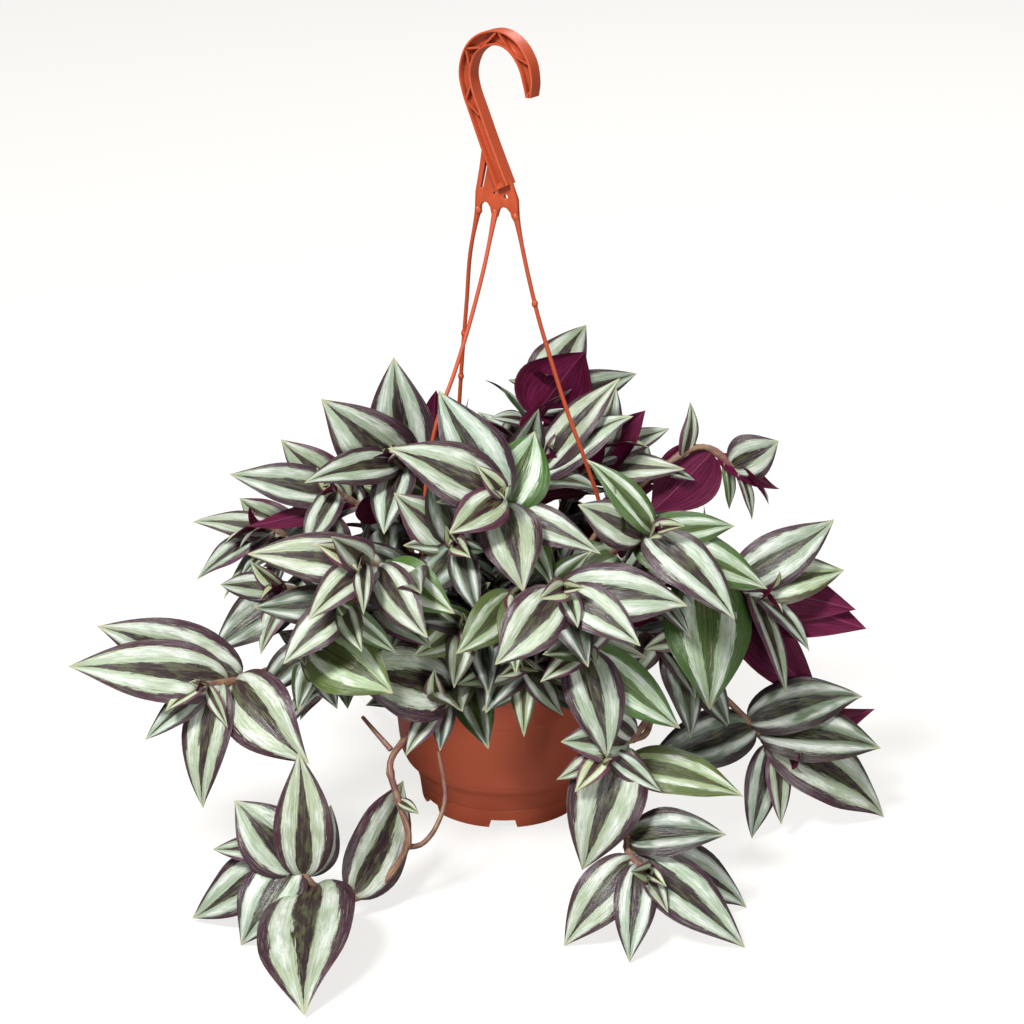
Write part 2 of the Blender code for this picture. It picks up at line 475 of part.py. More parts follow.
def tries(rule):
    """Turns of a blade to try, the smallest first: (lift, swing, size), the angles in radians."""
    lifts = (0, -10, 10, -20, 20, -32, 32, -46, 46) if rule else (0, -7, 7, -14, 14, -22, 22, -30, 30)
    swings = (0, -12, 12, -26, 26, -42, 42) if rule else (0, -6, 6, -12, 12)
    sizes = (1, 0.85, 0.7, 0.56) if rule else (1, 0.92, 0.84)
    found = [(abs(a) / 12 + abs(b) / 9 + (1 - c) * 9, math.radians(a), math.radians(b), c)
             for a in lifts for b in swings for c in sizes]
    return [t[1:] for t in sorted(found)]


def nudges():
    """Shifts of a blade's point, the least change of the front view first: (forth, aside, up, roll, width)."""
    found = []
    for forth in (0, -5, 5, -10, 10, -16, 16, -24, 24):
        for aside, rise in ((0, 0), (3, 0), (-3, 0), (0, 3), (0, -3), (7, 0), (-7, 0), (0, 7), (0, -7)):
            for roll in (0, -14, 14, -28, 28):
                for width in (1, 0.86):
                    cost = abs(forth) / 6 + math.hypot(aside, rise) / 1.6 + abs(roll) / 16 + (1 - width) * 10
                    found.append((cost, forth, aside, rise, math.radians(roll), width))
    return [t[1:] for t in sorted(found)]


def squared(v, to):
    """v made square to a direction, one long."""
    return unit(v - to * np.dot(v, to) / np.dot(to, to))


def nudged(wish, options):
    """The leaf with its point shifted in each of the ways that nudges gives."""
    chord, up = wish["chord"], wish["up"]
    for forth, aside, rise, roll, width in options:
        new = chord + forth * FORTH + rise * RISE + np.array([aside, 0, 0])
        yield dict(wish, chord=new, up=turned(squared(up, new), unit(new), roll), wide=wish["wide"] * width)


def turns(wish, options):
    """The leaf turned about its base in each of the ways that tries gives."""
    chord, up = wish["chord"], wish["up"]
    side = unit(np.cross(chord, up))
    for lift, swing, size in options:
        new = turned(turned(chord, side, -lift), up, swing) * size
        yield dict(wish, chord=new, up=squared(turned(up, side, -lift), new), wide=wish["wide"] * size)


def place_leaf(attempts, taken, owner, strict):
    """The first of the attempts at a leaf that clears what is in place. None where none does."""
    for leaf in attempts:
        verts, faces = blade_mesh(leaf, BLADE + 2 * CLEAR)
        if verts[:, 2].min() < FLOOR:
            continue
        if not taken.meets(verts, faces, owner, outer_faces_of(faces) if strict else None):
            return leaf
    return None


def path_line(shoot):
    """A stem's line through its own path, standing straight in its hole."""
    x, y = shoot["root"]
    count = 8 if len(shoot["path"]) < 5 else 13
    top = np.array([x, y, SOIL_TOP + ROOT_RISE])
    line = smooth_path([top, top + (0, 0, 5), *np.array(shoot["path"], float), shoot["tip"]], count)
    return np.vstack([[x, y, SOIL_TOP - HOLE_DEPTH + 0.5], line])


def free_line(shoot, places, used, placed, solids):
    """The first curve from a free hole to the growing point that clears what stands. None where none does."""
    tip = shoot["tip"]
    flat = np.array([tip[0], tip[1], 0])
    out = flat / max(np.linalg.norm(flat), 1e-6)
    grow = unit(shoot["face"] * 0.7 + out * 0.5 + np.array([0, 0, 0.15]))
    wanted = out * min(max(0.45 * np.linalg.norm(flat) - 0.12 * (tip[2] - 100) + 10, 3), 50)
    near = sorted(places, key=lambda p: math.dist(p, wanted[:2]))
    near = [p for p in near if all(math.dist(p, q) > ROOT_GAP for q in used)][:16]
    for rise, run in ((0.45, 0.35), (0.6, 0.3), (0.3, 0.45), (0.7, 0.15)):
        for place in near:
            line = curved_line(place, tip, grow, rise, run, 7)
            if line_clear(line, placed, solids):
                return line
    return None


def stem_wishes(stem, rng):
    """The leaves wanted on a stem, as (rank, stem, leaf): listed ones, then rosettes, then spare ones."""
    shoot, line = stem["shoot"], stem["line"]
    fine = dense(line, 0.5)
    gone = np.concatenate([[0], np.cumsum(np.linalg.norm(np.diff(fine, axis=0), axis=1))])
    leaves, rule = shoot["leaves"], shoot.get("rule", False)

    def at_length(length):
        return np.array([np.interp(length, gone, fine[:, k]) for k in range(3)])

    wishes = []
    for at, offset, ratio, tone, *own in shoot.get("along", []):
        face = unit(own[0]) if own else shoot["face"]
        leaf = make_leaf(at_length(at * gone[-1]), np.array(offset, float), face, ratio, tone, rng)
        wishes.append((0, stem, leaf))
    step = RULE_STEP if rule else OLD_STEP
    for k, (dx, dy, dz, ratio, tone, *own) in enumerate(leaves):
        face = unit(own[0]) if own else shoot["face"]
        base = at_length(gone[-1] - 1.0 - (len(leaves) - 1 - k) * step)
        chord = shoot["tip"] + np.array([dx, dy, dz]) - base
        wishes.append((int(rule), stem, make_leaf(base, chord, face, ratio, tone, rng)))
    if "path" not in shoot:
        ahead = unit(line[-1] - line[-2])
        swing = unit(np.cross(ahead, (0, 0, 1))) * (1 if stem["order"] % 2 else -1)
        chord = unit(swing * 0.9 + ahead * 0.4 - np.array([0, 0, 0.25])) * rng.uniform(44, 58)
        leaf = make_leaf(at_length(0.72 * gone[-1]), chord, unit(shoot["face"] + (0, 0, 0.4)),
                         rng.uniform(0.42, 0.5), rng.choice("sssgdp"), rng)
        wishes.append((2, stem, leaf))
    return wishes


def grow_stems(taken):
    """Every leafy stem: its line and its blades, each clear of the others. What grows is added to taken."""
    rng = random.Random(5)
    fixed, ground = guards()
    solids = [BVHTree.FromPolygons(v.tolist(), f) for v, f in fixed]
    shoots = [dict(s, tip=np.array(s["tip"], float), face=unit(s["face"])) for s in SHOOTS] + tier_shoots()
    places = root_places()
    used, placed, stems = [], [], []
    ranks = [("path" not in shoot, shoot.get("rule", False), i) for i, shoot in enumerate(shoots)]
    for _, _, i in sorted(ranks):
        shoot = shoots[i]
        line = path_line(shoot) if "path" in shoot else free_line(shoot, places, used, placed, solids)
        if line is None:
            continue
        used.append(tuple(line[0][:2]))
        placed += [dense(line)] + [dense(np.array(spur, float)) for spur in shoot.get("spurs", [])]
        stems.append(dict(shoot=shoot, line=line, name="leafy_stem_" + shoot["name"], leaves=[], order=i))
    stems.sort(key=lambda s: s["order"])
    for verts, faces in [*fixed, ground]:
        taken.add(verts, faces, "solid")
    for stem in stems:
        taken.add(*tube_mesh(stem["line"], STEM_RADIUS + 0.3), stem["name"])
        for spur in stem["shoot"].get("spurs", []):
            taken.add(*tube_mesh(smooth_path(spur, 9), SPUR_RADIUS + 0.3), stem["name"])
    wishes = [wish for stem in stems for wish in stem_wishes(stem, rng)]
    wishes.sort(key=lambda w: w[0])
    small, large, wide = nudges(), tries(False), tries(True)
    for rank, stem, wish in wishes:
        if rank or np.linalg.norm(wish["chord"]) < LONG_BLADE:
            wish["sections"] = FEW_SECTIONS
        ways = [(turns(wish, wide), True), (turns(wish, wide), False)]
        if rank == 0:
            ways = [(nudged(wish, small), True), (turns(wish, large), True), (nudged(wish, small), False)]
        leaf = None
        for attempts, strict in ways:
            if leaf is None:
                leaf = place_leaf(attempts, taken, stem["name"], strict)
        if leaf is None:
            continue
        verts, faces = blade_mesh(leaf)
        taken.add(verts, faces, stem["name"], BVHTree.FromPolygons(verts.tolist(), outer_faces_of(faces)))
        stem["leaves"].append(leaf)
    return stems


# ---- making solids ----
def new_collection(name, parent):
    collection = bpy.data.collections.new(name)
    parent.children.link(collection)
    return collection


def material(name, colour, roughness):
    m = bpy.data.materials.new(name)
    m.use_nodes = True
    shader = m.node_tree.nodes["Principled BSDF"]
    shader.inputs["Base Color"].default_value = (*colour, 1)
    shader.inputs["Roughness"].default_value = roughness
    m.diffuse_color = (*colour, 1)
    return m


def add_object(name, mesh, collection, mat=None):
    o = bpy.data.objects.new(name, mesh)
    collection.objects.link(o)
    if mat is not None:
        mesh.materials.append(mat)
    return o


def mesh_of(verts, faces):
    """A mesh in metres from points in millimetres, its faces turned outward."""
    mesh = bpy.data.meshes.new("shape")
    mesh.from_pydata([tuple(c * MM for c in v) for v in verts], [], faces)
    b = bmesh.new()
    b.from_mesh(mesh)
    bmesh.ops.recalc_face_normals(b, faces=b.faces)
    b.to_mesh(mesh)
    b.free()
    return mesh


def settled(o):
    """The object's mesh with its modifiers applied."""
    bpy.context.view_layer.update()
    return bpy.data.meshes.new_from_object(o.evaluated_get(bpy.context.evaluated_depsgraph_get()))


def welded(mesh, gap, move=None):
    """The mesh with points closer than gap joined and its faces outward, its points moved by move."""
    b = bmesh.new()
    b.from_mesh(mesh)
    bmesh.ops.remove_doubles(b, verts=b.verts, dist=gap)
    if move is not None:
        for v in b.verts:
            v.co = move(v.co)
    bmesh.ops.recalc_face_normals(b, faces=b.faces)
    b.to_mesh(mesh)
    b.free()
    return mesh


def turned_solid(name, profile, steps, collection, mat):
    """A solid of revolution by the Screw modifier. The profile runs from top to bottom on its outer side."""
    mesh = bpy.data.meshes.new(name)
    points = [(r * MM, 0, z * MM) for r, z in profile]
    closed = profile[0][0] > 0
    edges = [(i, i + 1) for i in range(len(points) - 1)] + ([(len(points) - 1, 0)] if closed else [])
    mesh.from_pydata(points, edges, [])
    o = add_object(name, mesh, collection, mat)
    screw = o.modifiers.new("turn", "SCREW")
    screw.steps = screw.render_steps = steps
    screw.use_merge_vertices = True
    screw.merge_threshold = 0.0001
    screw.use_normal_calculate = True
    whole = welded(settled(o), WELD)
    o.modifiers.clear()
    o.data = whole
    return o


def mesh_of_curve(curve, collection):
    """The mesh of a curve, with its caps welded to its wall."""
    o = add_object("line", curve, collection)
    mesh = settled(o)
    bpy.data.objects.remove(o)
    return mesh


def prism(name, outline, low, high, collection):
    """A flat outline in the hook's plane, as (x, z) in millimetres, raised from low to high along y."""
    curve = bpy.data.curves.new(name, "CURVE")
    curve.dimensions = "2D"
    curve.fill_mode = "BOTH"
    curve.extrude = 0.5 * (high - low) * MM
    spline = curve.splines.new("POLY")
    spline.points.add(len(outline) - 1)
    for point, (x, z) in zip(spline.points, outline):
        point.co = (x * MM, z * MM, 0, 1)
    spline.use_cyclic_u = True
    middle = 0.5 * (low + high) * MM
    mesh = welded(mesh_of_curve(curve, collection), WELD, lambda p: Vector((p.x, middle - p.z, p.y)))
    return add_object(name, mesh, collection)


def placed_shape(name, collection, move):
    """The primitive that was just added, under this name in this collection, its points moved by move."""
    o = bpy.context.object
    o.name = name
    for other in list(o.users_collection):
        other.objects.unlink(o)
    collection.objects.link(o)
    for v in o.data.vertices:
        v.co = move(v.co)
    return o


def box(name, size, place, collection, turn=0.0):
    """A box by its size and its middle in millimetres, turned about Z."""
    bpy.ops.mesh.primitive_cube_add(size=1)
    swing = Matrix.Rotation(turn, 3, "Z")
    return placed_shape(name, collection, lambda p: (swing @ (p * Vector(size)) + Vector(place)) * MM)


def cylinder(name, radius, depth, place, sides, collection, axis="Z"):
    """A cylinder by its middle in millimetres, along Z or Y."""
    bpy.ops.mesh.primitive_cylinder_add(vertices=sides, radius=radius, depth=depth)
    lay = Matrix.Rotation(0.0 if axis == "Z" else 0.5 * math.pi, 3, "X")
    return placed_shape(name, collection, lambda p: (lay @ p + Vector(place)) * MM)


def tube(name, line, radius, collection):
    """A wire along a line: a POLY curve with a round bevel and filled ends, as a welded mesh."""
    curve = bpy.data.curves.new(name, "CURVE")
    curve.dimensions = "3D"
    curve.bevel_depth = radius * MM
    curve.bevel_resolution = 0
    curve.use_fill_caps = True
    spline = curve.splines.new("POLY")
    spline.points.add(len(line) - 1)
    for point, p in zip(spline.points, line):
        point.co = (p[0] * MM, p[1] * MM, p[2] * MM, 1)
    return add_object(name, welded(mesh_of_curve(curve, collection), WELD), collection)


def ball(name, radius, place, collection):
    bpy.ops.mesh.primitive_ico_sphere_add(subdivisions=1, radius=radius)
    return placed_shape(name, collection, lambda p: (p + Vector(place)) * MM)


def smooth(o, angle):
    """Smooth shading, with edges sharper than angle kept."""
    o.data.shade_smooth()
    o.data.set_sharp_from_angle(angle=math.radians(angle))


def combine(o, collection, operation="UNION", solver="EXACT"):
    """o with everything in the collection fused in, or cut out. The collection is gone afterwards."""
    b = o.modifiers.new("join", "BOOLEAN")
    b.operand_type = "COLLECTION"
    b.collection = collection
    b.operation = operation
    b.solver = solver
    mesh = settled(o)
    o.modifiers.clear()
    o.data = mesh
    for other in list(collection.objects):
        bpy.data.objects.remove(other)
    bpy.data.collections.remove(collection)
    keep_body(o)
    return o


def keep_body(o):
    """Only the largest shell stays: sealed pockets are filled and loose scrap is dropped."""
    b = bmesh.new()
    b.from_mesh(o.data)
    bmesh.ops.triangulate(b, faces=b.faces)
    b.faces.ensure_lookup_table()
    seen, shells = set(), []
    for face in b.faces:
        if face.index in seen:
            continue
        seen.add(face.index)
        stack, shell = [face], []
        while stack:
            f = stack.pop()
            shell.append(f)
            for e in f.edges:
                for g in e.link_faces:
                    if g.index not in seen:
                        seen.add(g.index)
                        stack.append(g)
        shells.append((sum(f.verts[0].co.dot(f.verts[1].co.cross(f.verts[2].co)) for f in shell), shell))
    shells.sort(key=lambda s: s[0], reverse=True)
    spare = [f for _, shell in shells[1:] for f in shell]
    bmesh.ops.delete(b, geom=spare, context="FACES")
    b.to_mesh(o.data)
    b.free()


def ribbon(points, inset=0.0, count=22):
    """The outline of a band along a centre line with its half width, as (x, z)."""
    p = np.array(points, float)
    line = smooth_path(p, count)
    along = np.gradient(line[:, :2], axis=0)
    along /= np.linalg.norm(along, axis=1)[:, None]
    side = np.column_stack([-along[:, 1], along[:, 0]]) * (line[:, 2] - inset)[:, None]
    middle = line[:, :2].copy()
    middle[0] += along[0] * inset
    middle[-1] -= along[-1] * inset
    return np.vstack([middle + side, (middle - side)[::-1]])


def in_place(o):
    """Moves a shape from the hook's own plane to the plant's frame."""
    for v in o.data.vertices:
        v.co = Vector(hook_place(v.co))
    return o


def make_hook(parts):
    """The hook: a band with a web in its middle and a rim round both faces."""
    half = 0.5 * HOOK_THICK
    hook = prism("hanger", ribbon(HOOK), -half, half, parts)
    pockets = new_collection("pockets", parts)
    for low, high in ((0.5 * HOOK_WEB, half + 2), (-half - 2, -0.5 * HOOK_WEB)):
        prism("pocket", ribbon(HOOK, HOOK_RIM), low, high, pockets)
    combine(hook, pockets, "DIFFERENCE")
    return in_place(hook)


def make_ribs(more):
    """The ribs between the points of the crest along the hook's top."""
    half = 0.5 * HOOK_THICK - 0.7
    for start, end in np.array(RIBS):
        d = unit(end - start)
        side = np.array([-d[1], d[0]]) * 0.5 * RIB_WIDTH
        a, b = start + d, end - d
        in_place(prism("rib", [a + side, a - side, b - side, b + side], -half, half, more))


def make_plate(parts, more):
    """The flat plate under the hook that the strands come out of."""
    plate = prism("plate", PLATE, -0.5 * PLATE_THICK, 0.5 * PLATE_THICK, more)
    holes = new_collection("holes", parts)
    prism("slot", PLATE_SLOT, -PLATE_THICK, PLATE_THICK, holes)
    for x, z, radius in PLATE_HOLES:
        cylinder("hole", radius, 4 * PLATE_THICK, (x, 0, z), 10, holes, "Y")
    combine(plate, holes, "DIFFERENCE")
    in_place(plate)
    for x, _, z in (strand[0] for strand in STRANDS):
        in_place(ball("knuckle", KNUCKLE_RADIUS, (x, 0, z - 1), more))


def make_clip(strand, parts, more):
    """A strand's clip: a block with a groove from below that sits on the pot's lip."""
    x, y, _ = strand[-1]
    turn = math.atan2(y, x)
    out = unit((x, y, 0))
    clip = box("clip", (CLIP_OUT - CLIP_IN, CLIP_WIDTH, CLIP_HIGH - CLIP_LOW),
               out * 0.5 * (CLIP_IN + CLIP_OUT) + (0, 0, 0.5 * (CLIP_LOW + CLIP_HIGH)), more, turn)
    grooves = new_collection("grooves", parts)
    low, high = CLIP_LOW - 1, CLIP_GROOVE_TOP
    box("groove", (CLIP_GROOVE[1] - CLIP_GROOVE[0], 2 * CLIP_WIDTH, high - low),
        out * 0.5 * sum(CLIP_GROOVE) + (0, 0, 0.5 * (low + high)), grooves, turn)
    combine(clip, grooves, "DIFFERENCE")


def make_hanger(parts, mat):
    hook = make_hook(parts)
    more = new_collection("more", parts)
    make_ribs(more)
    make_plate(parts, more)
    for strand in STRANDS:
        tube("strand", strand_line(strand), STRAND_RADIUS, more)
        make_clip(strand, parts, more)
    for i, at in BEADS:
        line = strand_line(STRANDS[i])
        ball("bead", BEAD_RADIUS, line[round(at * (len(line) - 1))], more)
    combine(hook, more)
    smooth(hook, 32)
    hook.data.materials.clear()
    hook.data.materials.append(mat)
    return hook


def make_pot(parts, mat):
    pot = turned_solid("pot", POT_OUTER + POT_INNER, POT_STEPS, parts, mat)
    cuts = new_collection("cuts", parts)
    foot = POT_OUTER[-1][0]
    for i in range(NOTCHES):
        notch = box("notch", (14, NOTCH_WIDTH, NOTCH_HEIGHT + 2), (foot, 0, 0.5 * NOTCH_HEIGHT - 1), cuts)
        swing = Matrix.Rotation((i / NOTCHES - 0.25) * 2 * math.pi, 3, "Z")
        for v in notch.data.vertices:
            narrow = NOTCH_TOP / NOTCH_WIDTH if v.co.z > 0 else 1
            v.co = swing @ Vector((v.co.x, v.co.y * narrow, v.co.z))
    for i in range(DRAINS):
        a = (i + 0.5) * 2 * math.pi / DRAINS
        cylinder("drain", DRAIN_RADIUS, 8, (DRAIN_RING * math.cos(a), DRAIN_RING * math.sin(a), 6), 8, cuts)
    combine(pot, cuts, "DIFFERENCE")
    smooth(pot, 28)
    return pot


def make_soil(parts, mat, roots):
    soil = turned_solid("soil", SOIL, SOIL_STEPS, parts, mat)
    holes = new_collection("root holes", parts)
    for x, y in roots:
        cylinder("hole", HOLE_RADIUS, HOLE_DEPTH + 6, (x, y, SOIL_TOP + 3 - 0.5 * HOLE_DEPTH), 6, holes)
    combine(soil, holes, "DIFFERENCE")
    smooth(soil, 28)
    return soil


def make_stem(stem, parts, mat):
    o = tube(stem["name"], stem["line"], STEM_RADIUS, parts)
    more = new_collection("blades", parts)
    for spur in stem["shoot"].get("spurs", []):
        tube("spur", smooth_path(spur, 9), SPUR_RADIUS, more)
    for leaf in stem["leaves"]:
        verts, faces = blade_mesh(leaf)
        add_object("blade", mesh_of(verts, faces), more)
    combine(o, more, solver="MANIFOLD")
    smooth(o, 40)
    o.data.materials.clear()
    o.data.materials.append(mat)
    return o


def main():
    for o in list(bpy.data.objects):
        bpy.data.objects.remove(o)
    scene = bpy.context.scene
    scene.unit_settings.system = "METRIC"
    parts = new_collection("potted tradescantia", scene.collection)
    plastic = material("pot_plastic", (0.36, 0.085, 0.035), 0.45)
    cord = material("hanger_plastic", (0.52, 0.1, 0.035), 0.42)
    earth = material("soil", (0.035, 0.022, 0.014), 0.95)
    leaf = material("foliage", (0.2, 0.27, 0.2), 0.5)
    make_pot(parts, plastic)
    make_hanger(parts, cord)
    stems = grow_stems(Taken())
    make_soil(parts, earth, [tuple(s["line"][0][:2]) for s in stems])
    for stem in stems:
        make_stem(stem, parts, leaf)
    bpy.context.view_layer.update()


main()
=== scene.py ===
"""The looks of a potted tradescantia: its pot, soil, one-piece hanger and leafy stems, on a plain pale floor.

Tables and working are in millimetres, meshes in metres. +Z is up and -Y is the front. Each leafy stem stands
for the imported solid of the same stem: its line and its blades are found by the same steps as that solid's,
and then made finer. Small young leaves and inner leaves are added where they find room.
"""
import math
import random

import bmesh
import bpy
import numpy as np
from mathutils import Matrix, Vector
from mathutils.bvhtree import BVHTree


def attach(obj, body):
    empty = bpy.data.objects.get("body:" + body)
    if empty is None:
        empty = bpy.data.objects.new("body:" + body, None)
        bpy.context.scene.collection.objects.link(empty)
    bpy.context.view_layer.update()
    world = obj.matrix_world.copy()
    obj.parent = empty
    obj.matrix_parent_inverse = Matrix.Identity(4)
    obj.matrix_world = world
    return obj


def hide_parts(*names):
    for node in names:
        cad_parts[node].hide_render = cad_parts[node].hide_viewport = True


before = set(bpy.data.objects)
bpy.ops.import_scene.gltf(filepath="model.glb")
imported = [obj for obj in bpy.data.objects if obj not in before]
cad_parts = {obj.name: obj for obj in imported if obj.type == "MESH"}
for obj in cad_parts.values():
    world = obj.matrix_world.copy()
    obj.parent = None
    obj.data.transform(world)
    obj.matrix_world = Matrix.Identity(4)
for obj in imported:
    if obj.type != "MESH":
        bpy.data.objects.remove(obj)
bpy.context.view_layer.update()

MM = 0.001

# Pot: outer radius and height, from the lip down to the foot.
POT_OUTER = [(69.6, 100.0), (71.0, 99.2), (71.0, 96.0), (69.6, 95.2), (68.8, 76.0), (67.6, 74.6),
             (64.8, 44.0), (63.4, 34.0), (61.2, 29.2), (55.8, 24.0), (54.8, 21.6), (52.5, 13.0),
             (51.9, 12.5), (52.3, 12.0), (50.8, 0.0)]
POT_INNER = [(48.4, 0.0), (49.2, 6.5), (0.0, 6.5), (0.0, 8.2), (50.4, 8.2), (53.4, 24.8), (60.6, 32.0),
             (66.0, 74.8), (67.6, 99.4)]
POT_SIDES = 144
NOTCHES, NOTCH_WIDTH, NOTCH_TOP, NOTCH_HEIGHT = 6, 18.0, 14.5, 5.5
NOTCH_REACH, NOTCH_LOW = (43, 57), -1.0  # across the foot ring, and below it
DRAINS, DRAIN_RADIUS, DRAIN_RING, DRAIN_SIDES = 4, 4.0, 30.0, 24
DRAIN_REACH = (4.0, 10.0)  # from under the pot's floor to above it

# Soil: top surface and wall, 0.3 mm inside the pot.
SOIL = [(0.0, 90.0), (54.0, 88.0), (66.2, 86.0), (65.5, 74.9), (60.2, 32.3), (53.0, 25.2), (50.0, 8.6),
        (0.0, 8.6)]
SOIL_SIDES, SOIL_RINGS, SOIL_MIDDLE = 96, 34, 0.4  # the grid of its top, and the radius of the innermost ring
SOIL_WAVE, SOIL_CRUMB, SOIL_SETTLED = 0.9, 0.75, 0.6
SOIL_TOP, SOIL_REACH = 90.0, 54.0  # height of the middle, and how far out stems stand
HOLE_DEPTH = 12.0  # of the place where a stem stands in the soil

# Hanger. Hook: its centre line and half width in its own plane, from its tip to the foot of its shank. Ribs
# are lines between two points of that plane, and so is the plate's outline.
HOOK = [(20.4, 442.0, 1.8), (19.9, 450.0, 3.3), (17.0, 460.5, 4.1), (9.8, 469.4, 4.3), (0.0, 473.2, 4.3),
        (-11.2, 470.6, 4.3), (-19.5, 463.5, 4.2), (-23.3, 452.0, 4.1), (-21.5, 441.0, 4.0),
        (-16.0, 428.0, 4.1), (-9.0, 412.0, 4.2), (-2.0, 397.0, 4.3), (2.4, 388.0, 4.3)]
HOOK_THICK, HOOK_WEB, HOOK_RIM, HOOK_EASE, HOOK_POINTS = 9.0, 1.8, 1.3, 0.35, 84
RIB_WIDTH, RIB_BELOW = 1.2, 0.7  # a rib's top lies this far below the channel's edge
HOOK_TURN = math.radians(-35)
RIBS = [((-1.0, 477.0), (-11.5, 466.6)), ((-1.0, 477.0), (8.4, 465.4)), ((8.4, 465.4), (20.6, 460.6)),
        ((-11.5, 466.6), (-23.0, 464.6)), ((-23.0, 464.6), (-19.4, 452.0)),
        ((-19.0, 446.0), (-23.3, 434.6)), ((-23.3, 434.6), (-12.4, 427.0))]
PLATE = [(-13.0, 413.0), (-15.6, 396.0), (-18.4, 382.0), (-18.9, 370.5), (-15.4, 370.5), (-14.9, 374.4),
         (-13.0, 376.8), (-10.2, 376.8), (-8.0, 374.2), (-7.2, 370.5), (-3.0, 370.5), (-2.0, 373.6),
         (0.4, 375.6), (3.4, 375.4), (6.0, 373.2), (7.2, 370.0), (11.4, 370.0), (10.8, 381.0), (7.0, 390.0),
         (2.0, 396.0)]
PLATE_THICK = 2.6
PLATE_SLOT = [(-10.8, 402.0), (-9.2, 401.0), (-13.0, 384.5), (-14.8, 385.0)]
PLATE_HOLES, PLATE_HOLE_SIDES = [(-4.7, 383.0, 1.0), (3.0, 382.0, 1.5)], 16
STRAND_RADIUS, BEAD_RADIUS, KNUCKLE_RADIUS = 1.25, 1.9, 2.3
STRAND_POINTS, STRAND_SIDES = 48, 12
STRAND_FOOT = (2.1, 1.7, 1.4)  # its first radii, under the plate
BEAD_RINGS, BEAD_STRETCH = 7, 1.3
STRANDS = [
    [(-17.0, 0.0, 372.0), (-17.0, 10.0, 366.0), (-21.0, 20.0, 316.0), (-25.0, 30.0, 266.0),
     (-28.0, 40.0, 215.0), (-30.0, 52.0, 160.0), (-29.6, 63.4, 101.0)],
    [(-5.0, 0.0, 372.0), (-5.0, -1.0, 364.0), (-19.0, -17.0, 311.0), (-28.0, -28.0, 284.0),
     (-40.0, -43.0, 250.0), (-46.0, -52.0, 190.0), (-40.2, -57.4, 101.0)],
    [(9.4, 0.0, 372.0), (9.6, -6.0, 362.0), (20.0, -7.0, 314.0), (40.0, -7.0, 247.0), (57.0, -7.0, 198.0),
     (64.0, -7.0, 150.0), (69.8, -6.1, 101.0)],
]
BEADS = [(0, 0.3), (0, 0.4), (2, 0.2)]  # number of the strand, and how far along it
CLIP_WIDTH, CLIP_LOW, CLIP_HIGH = 10.0, 89.6, 103.0
CLIP_IN, CLIP_OUT, CLIP_GROOVE, CLIP_GROOVE_TOP = 64.4, 73.6, (66.6, 71.6), 100.5

# ---- the leafy stems: layout ----
# The pot's outline with some room round it, which leaves keep out of: radius and height.
POT_ROOM = [(66.6, 87.0), (66.8, 100.4), (71.3, 100.4), (71.3, 95.0), (69.2, 74.6), (65.3, 44.0),
            (63.8, 32.0), (56.4, 24.0), (53.0, 12.0), (51.4, 0.0)]
STEM_RADIUS, SPUR_RADIUS = 1.7, 1.3
STEM_ROOM = 3.9  # between the centre lines of two stems
ROOT_PLACES, ROOT_GAP = 64, 6.5
ROOT_RISE = 1.5  # height above the soil at which a stem starts to lean
GOLDEN = math.radians(137.508)
BLADE = 1.3  # thickness at its midrib of the lens that a blade is tried for room with
BOW_PEAK = 0.5101  # the greatest value of u^0.8 (1-u)^1.2
SECTIONS = (0.0, 0.16, 0.4, 0.7, 1.0)  # of a blade from LONG_BLADE on
FEW_SECTIONS = (0.0, 0.22, 0.58, 1.0)  # of a shorter one
LONG_BLADE = 66.0
BOW, BOW_TURNED, TWIST, FOLD, CURL = 0.11, -0.06, 0.25, 0.34, 0.26  # a blade's form, as blade_surface has it
CLEAR = 0.55  # room kept around a blade
FLOOR = 0.6  # lowest height of a blade with its room
OLD_STEP, RULE_STEP = 5.0, 8.0  # from one leaf to the next along a listed stem, and along one by rule
LAST_LEAF, SPARE_LEAF = 1.0, 0.72  # below the growing point, and the share of the stem below a spare leaf
FORTH, RISE = np.array([0, 0.927, -0.375]), np.array([0, 0.375, 0.927])  # away from the front view, up in it
GUARD_SIDES, GUARD_ROOM = 28, 0.3  # round the pot, the strands and the clips

